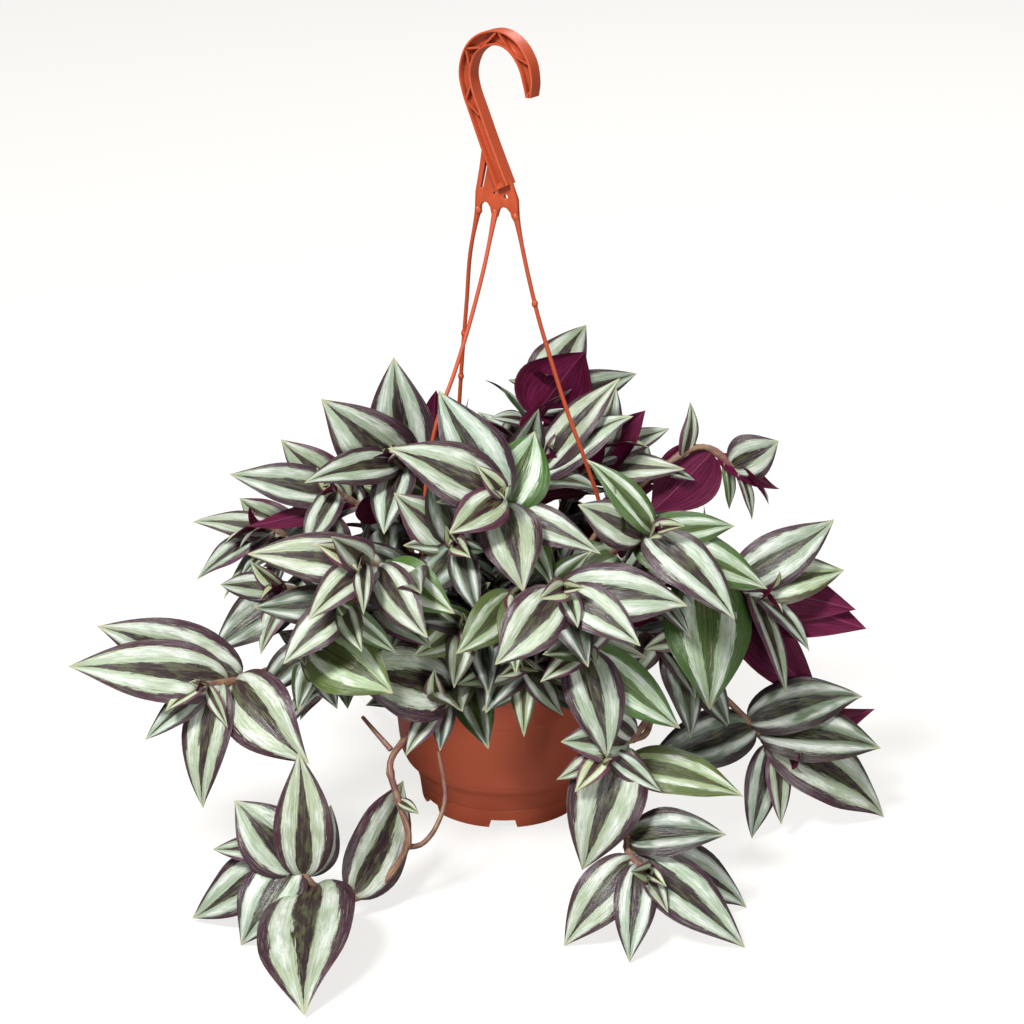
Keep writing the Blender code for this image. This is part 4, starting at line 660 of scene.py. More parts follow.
def grow_stems(taken):
    """Every leafy stem: its line and its blades, each clear of the others. What grows is added to taken.

    Stems with a path get their line first, then the listed ones, then the ones set by rule. The leaves
    follow by rank, and each takes the first of its tries that finds room.
    """
    rng = random.Random(5)
    fixed, ground = guards()
    solids = [BVHTree.FromPolygons(v.tolist(), f) for v, f in fixed]
    shoots = [dict(s, tip=np.array(s["tip"], float), face=unit(s["face"])) for s in SHOOTS] + tier_shoots()
    places = root_places()
    used, placed, stems = [], [], []
    ranks = [("path" not in shoot, shoot.get("rule", False), i) for i, shoot in enumerate(shoots)]
    for _, _, i in sorted(ranks):
        shoot = shoots[i]
        line = path_line(shoot) if "path" in shoot else free_line(shoot, places, used, placed, solids)
        if line is None:
            continue
        used.append(tuple(line[0][:2]))
        placed += [dense(line)] + [dense(np.array(spur, float)) for spur in shoot.get("spurs", [])]
        stems.append(dict(shoot=shoot, line=line, name="leafy_stem_" + shoot["name"], leaves=[], order=i))
    stems.sort(key=lambda s: s["order"])
    for verts, faces in [*fixed, ground]:
        taken.add(verts, faces, "solid")
    for stem in stems:
        taken.add(*tube_mesh(stem["line"], STEM_RADIUS + 0.3), stem["name"])
        for spur in stem["shoot"].get("spurs", []):
            taken.add(*tube_mesh(smooth_path(spur, 9), SPUR_RADIUS + 0.3), stem["name"])
    wishes = [wish for stem in stems for wish in stem_wishes(stem, rng)]
    wishes.sort(key=lambda w: w[0])
    small, large, wide = nudges(), tries(False), tries(True)
    for rank, stem, wish in wishes:
        if rank or np.linalg.norm(wish["chord"]) < LONG_BLADE:
            wish["sections"] = FEW_SECTIONS
        ways = [(turns(wish, wide), True), (turns(wish, wide), False)]
        if rank == 0:
            ways = [(nudged(wish, small), True), (turns(wish, large), True), (nudged(wish, small), False)]
        leaf = None
        for attempts, strict in ways:
            if leaf is None:
                leaf = place_leaf(attempts, taken, stem["name"], strict)
        if leaf is None:
            continue
        verts, faces = blade_mesh(leaf)
        taken.add(verts, faces, stem["name"], BVHTree.FromPolygons(verts.tolist(), outer_faces_of(faces)))
        stem["leaves"].append(leaf)
    return stems


# ---- meshes from grids ----
def mesh_from(name, verts, faces, materials, face_material=None, uv=None, bake=None, points=None):
    """A smooth-shaded mesh in metres. uv and bake are maps by corner, points are attributes by vertex."""
    mesh = bpy.data.meshes.new(name)
    mesh.from_pydata((np.asarray(verts) * MM).tolist(), [], faces)
    for m in materials:
        mesh.materials.append(m)
    if face_material is not None:
        mesh.polygons.foreach_set("material_index", np.asarray(face_material, np.int32))
    mesh.polygons.foreach_set("use_smooth", np.ones(len(faces), bool))
    for label, values in (("Leaf", uv), ("OFBake", bake)):
        if values is not None:
            layer = mesh.uv_layers.new(name=label)
            layer.data.foreach_set("uv", np.asarray(values, np.float32).ravel())
    for label, values in (points or {}).items():
        layer = mesh.attributes.new(label, "FLOAT_VECTOR", "POINT")
        layer.data.foreach_set("vector", np.asarray(values, np.float32).ravel())
    mesh.update()
    o = bpy.data.objects.new(name, mesh)
    bpy.context.scene.collection.objects.link(o)
    return o


def rings(count, around):
    """The four-sided faces between count closed rings of around points each."""
    i, j = np.meshgrid(np.arange(count - 1), np.arange(around), indexing="ij")
    a, b = i * around + j, i * around + (j + 1) % around
    return np.stack([a, b, b + around, a + around], axis=-1).reshape(-1, 4)


def closed_rings(count, around):
    """The faces between closed rings, and a flat face at each end."""
    last = (count - 1) * around
    return [*rings(count, around).tolist(), list(range(around))[::-1], [last + j for j in range(around)]]


def outward(o):
    """Doubles merged and faces turned outward."""
    b = bmesh.new()
    b.from_mesh(o.data)
    bmesh.ops.remove_doubles(b, verts=b.verts, dist=0.01 * MM)
    bmesh.ops.recalc_face_normals(b, faces=b.faces)
    b.to_mesh(o.data)
    b.free()
    return o


def frames(line):
    """Two directions square to a line at each of its points, which turn as little as they can."""
    along = directions(line)
    side = beside(along[0])
    sides = []
    for d in along:
        side = unit(side - d * np.dot(side, d))
        sides.append(side)
    sides = np.array(sides)
    return sides, np.cross(along, sides)


def sweep(line, radii, around):
    """Rings of points about a line: point j of ring i stands radii[i] off it, at j of around equal turns."""
    side, over = frames(line)
    t = bearings(around)[None, :, None]
    r = np.asarray(radii, float)[:, None, None]
    return line[:, None] + r * (side[:, None] * np.cos(t) + over[:, None] * np.sin(t))


CELL_EDGE = 0.04  # the empty edge of a cell in the bake map


class Build:
    """Gathers the charts of one piece: each a grid with its vertex data, its faces and its cells in the bake
    map.

    A face's kind is its material: 0 upper side, 1 under side, 2 stem.
    """

    def __init__(self):
        self.verts, self.faces, self.kinds, self.cells, self.params = [], [], [], [], []
        self.points = {"blade": [], "form": [], "band": [], "core": [], "rim": []}
        self.count = self.cell = 0

    def add(self, verts, faces, kinds, cells, params, colours, form, seed):
        """faces is a list of index lists, kinds and cells one number for each face.

        At each point, params is (u, v), and form is the length, then a blade's half width or 1 on a sheath,
        then nothing. colours are a blade's tones. seed is 1 to 2 on a green blade and 0 to 1 elsewhere.
        """
        n = len(verts)
        self.verts.append(verts)
        self.faces += [tuple(int(c) + self.count for c in f) for f in faces]
        self.kinds += list(kinds)
        self.cells += [c + self.cell for c in cells]
        self.params.append(params)
        self.points["blade"].append(np.column_stack([params, np.full(n, seed)]))
        self.points["form"].append(form)
        for key, colour in zip(("band", "core", "rim"), colours):
            self.points[key].append(np.tile(colour, (n, 1)))
        self.count += n
        self.cell += max(cells) + 1

    def piece(self, name, materials):
        """The mesh object: its map Leaf is (u, v), and its map OFBake has a square cell for each chart."""
        verts = np.vstack(self.verts)
        params = np.vstack(self.params)
        corners = np.concatenate([np.array(f) for f in self.faces])
        sizes = np.array([len(f) for f in self.faces])
        cell = np.repeat(np.array(self.cells), sizes)
        flat = params[corners] * (1, 0.5) + (0, 0.5)
        across = math.ceil(math.sqrt(self.cell))
        place = np.column_stack([cell % across, cell // across])
        bake = (place + CELL_EDGE + (1 - 2 * CELL_EDGE) * flat) / across
        return mesh_from(name, verts, self.faces, materials, self.kinds, flat, bake,
                         {k: np.vstack(v) for k, v in self.points.items()})


# ---- leaves ----
def linear(r, g, b):
    """A colour given from 0 to 255 as it is seen, as the shader wants it."""
    c = np.array([r, g, b]) / 255
    return np.where(c < 0.04045, c / 12.92, ((c + 0.055) / 1.055) ** 2.4)


# Each tone's colours: the two silver bands, the middle of the blade, its margin.
TONES = {
    "s": (linear(172, 187, 160), linear(48, 33, 36), linear(62, 32, 48)),
    "g": (linear(174, 194, 158), linear(70, 96, 38), linear(68, 102, 40)),
    "l": (linear(166, 184, 132), linear(70, 80, 36), linear(90, 106, 50)),
    "d": (linear(92, 108, 84), linear(34, 32, 26), linear(44, 30, 32)),
    "p": (linear(166, 182, 146), linear(54, 27, 34), linear(88, 36, 66)),
    "y": (linear(166, 180, 132), linear(60, 58, 36), linear(72, 64, 42)),
    "u": (linear(152, 170, 146), linear(54, 42, 40), linear(66, 36, 50)),
}
YOUNG = (linear(190, 204, 148), linear(66, 30, 44), linear(92, 30, 62))
SHEET, TIP_WIDE = 0.42, 0.2  # thickness of a blade, and its half width at its very point
SIZES = {"large": (22, 13), "small": (14, 9)}  # points along and across a blade
SMALL_BLADE = 30
ARCHED = 0.2  # more fold and curl than the lens that found the blade its place
RUFFLE, RIBBED = 0.055, 0.012  # over the blade's half width
LAST_ROW, MARGIN_CLOSE = 0.988, 0.43  # where the rows end, and how far the columns crowd to the margin
YOUNG_SET = ((27, 0.85, 0.6), (19, 0.5, 0.95), (11, 0.18, 1.4))  # length, how far it stands open, fold
INNER_PLACES = (0.86, 0.76, 0.66, 0.56, 0.46, 0.36)  # along the stem
# Share of its colour that an inner leaf keeps: painted shade of the clump's inside.
INNER_PAINTED_SHADE = 0.42
FILL_TRIES = [t for t in tries(True) if abs(t[0]) < 0.6 and t[2] in (1, 0.7)][:40]
NEXT_LEAF = 2.4  # turn from one leaf to the next, near the golden angle

# Fine stems: radii, and the nodes that leaves have dropped from on trailing ones.
TRAIL_RADIUS, UPRIGHT_RADIUS, SPUR_RADII = 1.95, 1.5, (1.7, 1.1)
NODE_RISE, NODE_REACH = 0.7, 1.7
BARE_FROM, BARE_STEP, BARE_ROOM = 18, 21, 12
SHEATH_BELOW, SHEATH_ABOVE, SHEATH_LEAST = 7.5, 1.2, 4  # either side of a node, and the shortest one made
SHEATH_RADII = (1.4, 1.95, 2.15, 2.3, 2.45, 1.5)
STEM_SIDES, SPUR_POINTS = 10, 24
SHEATH_LONG, SPUR_LONG = 8.0, 60.0  # as their streaks have it
NO_TONES = np.zeros((3, 3))


def fine_blade(leaf, rows, columns):
    """A blade as a closed sheet: rings of points from base to tip, the upper side then the under side.

    The middle surface is blade_surface with both its fold and its curl raised by ARCHED, so that each half is
    arched. Its margin is waved by RUFFLE |v|^4 sin(waves u + start) sin(pi u), and each half is ribbed by
    long veins, RIBBED w cos(3 pi |v|). The point is bent aside and down by bend length u^6. Each side stands
    off the middle by half the thickness times 1 - v^6, and more towards the base. A blade that would dip
    under the floor is lifted off it, in proportion to u.
    """
    s = leaf["seed"]
    t = np.linspace(0, 1, rows)
    us = LAST_ROW * (0.35 * t + 0.65 * (0.5 - 0.5 * np.cos(np.pi * t)))
    lanes = np.linspace(-0.5, 0.5, columns)
    vs = np.sin(lanes * math.pi * 2 * MARGIN_CLOSE) / math.sin(MARGIN_CLOSE * math.pi)
    points, normal = blade_surface(dict(leaf, fold=leaf["fold"] + ARCHED, curl=leaf["curl"] + ARCHED), us, vs)
    w = leaf["wide"] * half_width(us)
    wave = np.sin((9 + 5 * s) * us[:, None] + 6.3 * s + np.where(vs > 0, 2.1, 0.0)[None, :])
    push = (RUFFLE * leaf["wide"] * np.abs(vs) ** 4)[None, :] * wave * np.sin(np.pi * us)[:, None]
    push = push + RIBBED * w[:, None] * np.cos(3 * np.pi * np.abs(vs))[None, :]
    length = np.linalg.norm(leaf["chord"])
    side = unit(np.cross(leaf["chord"], leaf["up"]))
    bend = side * 0.09 * (s - 0.5) - leaf["up"] * (0.02 + 0.05 * ((7 * s) % 1))
    lean = bend[None, None] * (length * us**6)[:, None, None]
    points = points + normal * push[..., None] + lean
    thick = (0.5 * SHEET * (1 - vs**6))[None, :, None] * np.clip(3.0 - 2.6 * us, 0.5, 3)[:, None, None]
    upper, under = points + normal * thick, points - normal * thick
    loop = np.concatenate([upper, under[:, -2:0:-1]], axis=1)
    across = np.concatenate([vs, vs[-2:0:-1]])
    around = len(across)
    tip = leaf["base"] + leaf["chord"] + bend * length
    verts = np.vstack([loop.reshape(-1, 3), tip])
    params = np.column_stack([np.repeat(us, around), np.tile(across, rows)])
    params = np.vstack([params, (1.0, 0.0)])
    low = int(verts[:, 2].argmin())
    dip = max(FLOOR - verts[low, 2], 0.0)
    verts[:, 2] += dip * np.minimum(params[:, 0] / params[low, 0], 1.0) if dip else 0.0
    wide = np.append(np.repeat(w, around), TIP_WIDE)
    form = np.column_stack([np.full(len(params), length), wide, np.zeros(len(params))])
    end = (rows - 1) * around
    fan = [(end + j, end + (j + 1) % around, rows * around) for j in range(around)]
    faces = list(rings(rows, around)) + fan + [np.arange(around)[::-1]]
    column = np.tile(np.arange(around), rows - 1)
    lower = np.concatenate([column, np.arange(around), [around - 1]]) >= columns - 1
    kinds = np.where(lower, 1, 0)
    return verts, faces, kinds, kinds, params, form


def young_leaves(stem, taken, rng):
    """Up to three small rolled leaves about the growing point, the last almost closed. Each needs room."""
    shoot, line = stem["shoot"], stem["line"]
    face = unit(shoot["face"])
    ahead = unit(unit(line[-1] - line[-2]) + face)
    side = unit(np.cross(ahead, (0.3, 0.2, 0.9)))
    found = []
    start = rng.uniform(0, 6.28)
    for k, (size, open_by, fold) in enumerate(YOUNG_SET):
        turn = start + NEXT_LEAF * k
        away = side * math.cos(turn) + np.cross(ahead, side) * math.sin(turn)
        chord = unit(ahead + away * open_by) * size * rng.uniform(0.85, 1.15)
        leaf = make_leaf(np.array(line[-1]), chord, unit(ahead * 1.2 - away * 0.6), 0.5, "p", rng)
        leaf.update(fold=fold, curl=0.12, bow=0.1, young=1.0)
        verts, faces = blade_mesh(leaf)
        if not taken.meets(verts, faces, stem["name"]):
            taken.add(verts, faces, stem["name"])
            found.append(leaf)
    return found


def inner_leaves(stem, taken, rng):
    """Older leaves lower down the stem, darkened as painted shade of the clump's inside, each where it
    finds room, which close the clump from within."""
    if "path" in stem["shoot"]:
        return []
    line = dense(stem["line"], 0.5)
    found = []
    for k, at in enumerate(INNER_PLACES):
        i = int(at * (len(line) - 1))
        ahead = unit(line[i] - line[i - 1])
        turn = stem["order"] + NEXT_LEAF * k
        side = unit(np.cross(ahead, (0.2, 0.1, 1.0)))
        away = side * math.cos(turn) + np.cross(ahead, side) * math.sin(turn)
        outer = unit((line[i][0], line[i][1], 0))
        chord = unit(away * 0.8 + ahead * 0.35 + outer * 0.45) * rng.uniform(38, 56)
        face = unit(outer * 0.5 + np.array([0, 0, 0.8]))
        wish = make_leaf(line[i], chord, face, rng.uniform(0.44, 0.58), rng.choice("sddgpsyd"), rng)
        wish["sections"] = FEW_SECTIONS
        leaf = place_leaf(turns(wish, FILL_TRIES), taken, stem["name"], False)
        if leaf is not None:
            verts, faces = blade_mesh(leaf)
            taken.add(verts, faces, stem["name"])
            found.append(dict(leaf, shade=INNER_PAINTED_SHADE))
    return found


def blade_tones(leaf, rng):
    """The leaf's three colours, each a little lighter or darker and warmer or cooler than its tone."""
    # An inner leaf's painted shade darkens all three of its colours.
    light, warm = rng.uniform(0.84, 1.12) * leaf.get("shade", 1.0), rng.uniform(-0.06, 0.06)
    tones = YOUNG if leaf.get("young") else TONES[leaf["tone"]]
    return [c * light * np.array([1 + warm, 1.0, 1 - warm]) for c in tones]


def stem_build(stem, rng, extra):
    """One leafy stem: its tube swollen at each leaf, a sheath under each leaf, its blades and the extra ones.

    The tube's radius is the stem's own plus NODE_RISE exp(-(d / NODE_REACH)^2), d the way to the next node.
    """
    made = Build()
    line = smooth_path(stem["line"], max(24, 6 * len(stem["line"])))
    gone = distances(line)
    joints = [gone[np.argmin(np.linalg.norm(line - leaf["base"], axis=1))] for leaf in stem["leaves"]]
    trailing = "path" in stem["shoot"]
    bare = [at for at in np.arange(BARE_FROM, gone[-1], BARE_STEP)
            if trailing and min(abs(at - j) for j in joints) > BARE_ROOM]
    swelling = np.max([np.exp(-((gone - j) / NODE_REACH) ** 2) for j in joints + bare], axis=0)
    radii = (TRAIL_RADIUS if trailing else UPRIGHT_RADIUS) + NODE_RISE * swelling

    def wrap(line, radii, length, sheath):
        """Adds a closed tube to what is made: u along it, v round it."""
        count = len(line)
        turn = np.tile(np.arange(STEM_SIDES) / STEM_SIDES * 2 - 1, count)
        params = np.column_stack([np.repeat(np.linspace(0, 1, count), STEM_SIDES), turn])
        verts = sweep(line, radii, STEM_SIDES).reshape(-1, 3)
        form = np.tile((length, sheath, 0.0), (len(verts), 1))
        faces = closed_rings(count, STEM_SIDES)
        kinds, cells = np.full(len(faces), 2), np.zeros(len(faces), int)
        made.add(verts, faces, kinds, cells, params, NO_TONES, form, rng.random())

    wrap(line, radii, gone[-1], 0.0)
    for j in joints:
        at = np.linspace(max(j - SHEATH_BELOW, 1.0), min(j + SHEATH_ABOVE, gone[-1]), len(SHEATH_RADII))
        path = np.column_stack([np.interp(at, gone, line[:, k]) for k in range(3)])
        if np.linalg.norm(path[-1] - path[0]) > SHEATH_LEAST:
            wrap(path, SHEATH_RADII, SHEATH_LONG, 1.0)
    for leaf in stem["leaves"] + extra:
        small = leaf.get("young") or np.linalg.norm(leaf["chord"]) < SMALL_BLADE
        verts, faces, kinds, cells, params, form = fine_blade(leaf, *SIZES["small" if small else "large"])
        mark = 0.98 * leaf["seed"] + (leaf["tone"] in "gl")
        made.add(verts, faces, kinds, cells, params, blade_tones(leaf, rng), form, mark)
    for spur in stem["shoot"].get("spurs", []):
        wrap(smooth_path(spur, SPUR_POINTS), np.linspace(*SPUR_RADII, SPUR_POINTS), SPUR_LONG, 0.0)
    return made


# ---- materials ----
class Net:
    """Short ways to add shader nodes to one material and link them."""

    def __init__(self, name):
        self.material = bpy.data.materials.new(name)
        self.material.use_nodes = True
        self.tree = self.material.node_tree
        self.shader = self.tree.nodes["Principled BSDF"]

    def put(self, socket, value):
        """Links a node's output to the socket, or sets the socket to a number or a colour."""
        if isinstance(value, bpy.types.NodeSocket):
            self.tree.links.new(value, socket)
        elif isinstance(value, (tuple, list, np.ndarray)) and socket.type == "RGBA":
            socket.default_value = (*[float(c) for c in value[:3]], 1)
        else:
            socket.default_value = value

    def node(self, kind, inputs=(), **settings):
        """A new node, with its own settings and what its sockets get."""
        n = self.tree.nodes.new(kind)
        for key, value in settings.items():
            setattr(n, key, value)
        for key, value in dict(inputs).items():
            self.put(n.inputs[key], value)
        return n

    def calc(self, operation, *values):
        n = self.node("ShaderNodeMath", operation=operation)
        for socket, value in zip(n.inputs, values):
            self.put(socket, value)
        return n.outputs[0]

    def rest(self, value):
        """What is left of 1."""
        return self.calc("SUBTRACT", 1.0, value)

    def mix(self, share, a, b):
        """Colour a with its share of colour b."""
        return self.node("ShaderNodeMix", {0: share, 6: a, 7: b}, data_type="RGBA").outputs[2]

    def cover(self, mask, strength, a, b):
        """Colour a, with colour b over it at this strength wherever the mask is 1."""
        return self.mix(self.calc("MULTIPLY", mask, strength), a, b)

    def ramp(self, value, low, high):
        """0 below low, 1 above high, smooth between."""
        return self.node("ShaderNodeMapRange", {0: value, 1: low, 2: high},
                         interpolation_type="SMOOTHSTEP").outputs[0]

    def noise(self, vector, scale, detail, rough):
        return self.node("ShaderNodeTexNoise", {"Vector": vector, "Scale": scale, "Detail": detail,
                                                "Roughness": rough}).outputs[0]

    def point(self, x, y, z):
        return self.node("ShaderNodeCombineXYZ", {0: x, 1: y, 2: z}).outputs[0]

    def attribute(self, name):
        """A vertex attribute as a colour, and its three numbers."""
        n = self.node("ShaderNodeAttribute", attribute_name=name)
        split = self.node("ShaderNodeSeparateXYZ", {0: n.outputs["Vector"]})
        return n.outputs["Color"], split.outputs

    def bump(self, height, strength, distance):
        n = self.node("ShaderNodeBump", {"Height": height, "Strength": strength, "Distance": distance})
        self.put(self.shader.inputs["Normal"], n.outputs[0])

    def finish(self, **sockets):
        """The material, once the shader's named sockets are set."""
        for key, value in sockets.items():
            self.put(self.shader.inputs[key.replace("_", " ")], value)
        return self.material


VEINS = 47.0  # how fast the thin veins follow each other across a blade


def blade_frame(net):
    """Shared by both sides of a blade: its numbers, noises that run along it, broad to thin, and its
    veins."""
    _, (u, v, seed) = net.attribute("blade")
    _, (length, wide, _) = net.attribute("form")
    calc = net.calc
    lane = calc("MULTIPLY", seed, 61.0)
    along = calc("MULTIPLY", u, calc("MULTIPLY", length, 0.05))

    def streaks(stretch, across, scale):
        place = net.point(calc("MULTIPLY", along, stretch), calc("MULTIPLY", v, across), lane)
        return net.noise(place, scale, 4.0, 0.6)

    broad, fine, thin = streaks(1.0, 5.0, 1.6), streaks(1.7, 9.0, 2.0), streaks(0.8, 21.0, 2.2)
    veins = net.ramp(calc("SINE", calc("MULTIPLY_ADD", v, VEINS, calc("MULTIPLY", broad, 2.0))), 0.5, 1.0)
    return (u, v, calc("ABSOLUTE", v), wide), (seed, lane, along), (broad, fine, thin), veins


def leaf_upper():
    """Upper side: two silver bands with finely jagged edges between a dark middle wedge and a purple margin.

    The wedge reaches out to |v| = 0.36 (1-u)^0.8 + 0.02. The margin starts at |v| = 0.67 + 0.12 u, and 0.12
    further in on a green blade. Both edges are shifted by jag, from the broad and thin noises, so that they
    break up into short lengthwise strokes. Thin veins run along the whole blade.
    """
    net = Net("leaf_upper")
    (u, v, a, wide), (seed, lane, along), (broad, fine, thin), veins = blade_frame(net)
    calc, ramp, mix, rest, cover = net.calc, net.ramp, net.mix, net.rest, net.cover
    band, core, rim = (net.attribute(k)[0] for k in ("band", "core", "rim"))

    def patches(stretch, lane_off, scale, rough):
        place = net.point(along, calc("MULTIPLY", v, stretch), calc("ADD", lane, lane_off))
        return net.noise(place, scale, 2.0, rough)

    # Where the wedge ends and the margin starts.
    green, to_tip = ramp(seed, 0.985, 0.995), rest(u)
    jag = calc("ADD", calc("MULTIPLY", calc("SUBTRACT", broad, 0.5), 0.26),
               calc("MULTIPLY", calc("SUBTRACT", thin, 0.5), 0.42))
    inner = calc("MULTIPLY_ADD", calc("POWER", to_tip, 0.8), 0.36, 0.02)
    inner = calc("ADD", inner, calc("MULTIPLY", jag, 0.7))
    inner = calc("MULTIPLY", inner, ramp(u, -0.1, 0.16))
    outer = calc("SUBTRACT", calc("MULTIPLY_ADD", u, 0.12, 0.67), calc("MULTIPLY", jag, 0.9))
    outer = calc("SUBTRACT", outer, calc("MULTIPLY", green, 0.12))
    inside = ramp(calc("SUBTRACT", a, inner), -0.01, 0.012)
    outside = ramp(calc("SUBTRACT", a, outer), -0.012, 0.01)
    stroke = ramp(thin, 0.545, 0.61)

    # The silver bands: a painted highlight in patches along their crest, then washed and flecked with green,
    # scratched by dark strokes.
    highlight_crest = rest(ramp(calc("ABSOLUTE", calc("SUBTRACT", a, 0.52)), 0.0, 0.3))
    painted_highlight = calc("MULTIPLY", highlight_crest, ramp(patches(2.0, 5.0, 0.9, 0.6), 0.36, 0.6))
    silver = cover(painted_highlight, 0.85, band, mix(0.8, band, linear(248, 250, 246)))
    silver = cover(ramp(broad, 0.35, 0.7), 0.34, silver, mix(0.6, silver, linear(116, 146, 116)))
    silver = cover(stroke, 0.42, silver, mix(0.5, core, silver))
    silver = cover(ramp(fine, 0.5, 0.62), 0.32, silver, linear(112, 138, 112))
    silver = cover(veins, 0.2, silver, mix(0.35, core, silver))

    # The wedge: olive patches, silver strokes, dark veins, and a wine line down the midrib.
    middle = cover(ramp(patches(3.0, 9.0, 2.2, 0.5), 0.45, 0.62), 0.55, core, linear(92, 98, 62))
    middle = cover(stroke, 0.2, middle, mix(0.5, middle, band))
    middle = cover(veins, 0.3, middle, mix(0.7, middle, linear(30, 20, 20)))
    midrib = rest(ramp(calc("MULTIPLY", a, wide), 0.1, 0.42))
    middle = cover(midrib, calc("MULTIPLY_ADD", to_tip, 0.6, 0.3), middle, linear(56, 22, 34))

    # The margin: greyed in places, with silver strokes and a thin paler edge.
    margin = cover(ramp(broad, 0.4, 0.75), 0.3, rim, mix(0.5, rim, linear(120, 104, 104)))
    margin = cover(stroke, 0.22, margin, band)
    edge = rest(ramp(calc("MULTIPLY", rest(a), wide), 0.12, 0.3))
    margin = cover(edge, 0.3, margin, linear(120, 92, 86))

    # The whole: a straw point, a brown foot, pale specks.
    colour = mix(outside, mix(inside, middle, silver), margin)
    colour = cover(ramp(u, 0.9, 1.0), 0.7, colour, linear(206, 202, 160))
    colour = cover(rest(ramp(u, 0.0, 0.1)), 0.5, colour, linear(90, 74, 60))
    speckled = net.point(calc("MULTIPLY", along, 9.0), calc("MULTIPLY", v, 22.0), lane)
    dots = net.node("ShaderNodeTexVoronoi", {"Vector": speckled, "Scale": 1.4}).outputs["Distance"]
    specks = calc("MULTIPLY", rest(ramp(dots, 0.08, 0.22)), ramp(fine, 0.5, 0.6))
    colour = cover(specks, 0.22, colour, linear(200, 204, 190))
    height = calc("ADD", calc("MULTIPLY", veins, -0.12), calc("MULTIPLY", fine, 0.25))
    net.bump(calc("ADD", height, calc("MULTIPLY", broad, 1.3)), 0.55, 0.0012)
    rough = calc("MULTIPLY_ADD", fine, 0.2, 0.26)
    return net.finish(Base_Color=colour, Roughness=rough, Specular_IOR_Level=0.55)


def leaf_under():
    """Under side: deep wine with paler parallel veins and midrib, and a dull brown margin."""
    net = Net("leaf_under")
    (_, _, a, wide), _, (broad, fine, thin), veins = blade_frame(net)
    calc, ramp, cover = net.calc, net.ramp, net.cover
    colour = net.mix(ramp(broad, 0.3, 0.75), linear(70, 9, 34), linear(104, 22, 64))
    colour = cover(ramp(thin, 0.52, 0.75), 0.2, colour, linear(142, 46, 100))
    colour = cover(veins, 0.12, colour, linear(148, 66, 104))
    midrib = net.rest(ramp(calc("MULTIPLY", a, wide), 0.15, 0.7))
    colour = cover(midrib, 0.3, colour, linear(150, 76, 108))
    colour = cover(ramp(a, 0.88, 1.0), 0.35, colour, linear(90, 50, 52))
    net.bump(calc("ADD", calc("MULTIPLY", veins, 0.5), fine), 0.4, 0.0004)
    return net.finish(Base_Color=colour, Roughness=calc("MULTIPLY_ADD", fine, 0.2, 0.48),
                      Specular_IOR_Level=0.14)


def stem_skin():
    """Stem and sheaths: purple-brown streaked lengthwise with olive, paler on the sheaths."""
    net = Net("stem_skin")
    _, (u, v, seed) = net.attribute("blade")
    _, (length, sheath, _) = net.attribute("form")
    calc, ramp, mix, cover = net.calc, net.ramp, net.mix, net.cover
    place = net.node("ShaderNodeTexCoord").outputs["Object"]
    lengthwise = net.point(calc("MULTIPLY", calc("MULTIPLY", u, length), 0.06),
                           calc("MULTIPLY", calc("ABSOLUTE", v), 4.0), calc("MULTIPLY", seed, 41.0))
    streak = net.noise(lengthwise, 2.2, 3.0, 0.6)
    blotch = net.noise(place, 90.0, 3.0, 0.55)
    colour = mix(ramp(streak, 0.42, 0.6), linear(124, 72, 76), linear(150, 124, 86))
    colour = cover(ramp(blotch, 0.48, 0.7), 0.6, colour, linear(96, 46, 54))
    papery = mix(ramp(streak, 0.4, 0.62), linear(146, 140, 104), linear(110, 60, 84))
    colour = cover(sheath, 0.5, colour, papery)
    net.bump(calc("ADD", streak, calc("MULTIPLY", blotch, 0.6)), 0.5, 0.0005)
    return net.finish(Base_Color=colour, Roughness=calc("MULTIPLY_ADD", blotch, 0.25, 0.36))


def moulded_plastic(name, colour, worn):
    """Moulded plastic: faint grain, slow unevenness of tone, dust in long rubs, painted shade in recesses, a
    soft sheen."""
    net = Net(name)
    calc, ramp, cover = net.calc, net.ramp, net.cover
    place = net.node("ShaderNodeTexCoord").outputs["Object"]
    slow = net.noise(place, 16.0, 3.0, 0.55)
    grain = net.noise(place, 900.0, 2.0, 0.6)
    stretched = net.node("ShaderNodeMapping", {"Vector": place, "Scale": (1.0, 1.0, 7.0)}).outputs[0]
    rub = net.noise(stretched, 70.0, 4.0, 0.7)
    shade = cover(ramp(slow, 0.35, 0.7), 0.35, colour, worn)
    shade = cover(ramp(rub, 0.6, 0.8), 0.16, shade, linear(206, 150, 126))
    # Painted shade: recesses darkened towards a third of the colour by ambient occlusion.
    painted_recess_shade = net.node("ShaderNodeAmbientOcclusion", {"Distance": 0.005}, samples=8, only_local=True)
    shade = cover(net.rest(painted_recess_shade.outputs["AO"]), 0.75, shade, 0.3 * colour)
    net.bump(calc("ADD", calc("MULTIPLY", grain, 0.35), calc("MULTIPLY", slow, 0.8)), 0.28, 0.0003)
    roughness = calc("ADD", calc("MULTIPLY_ADD", rub, 0.16, 0.34), calc("MULTIPLY", grain, 0.05))
    return net.finish(Base_Color=shade, Roughness=roughness, Specular_IOR_Level=0.45)


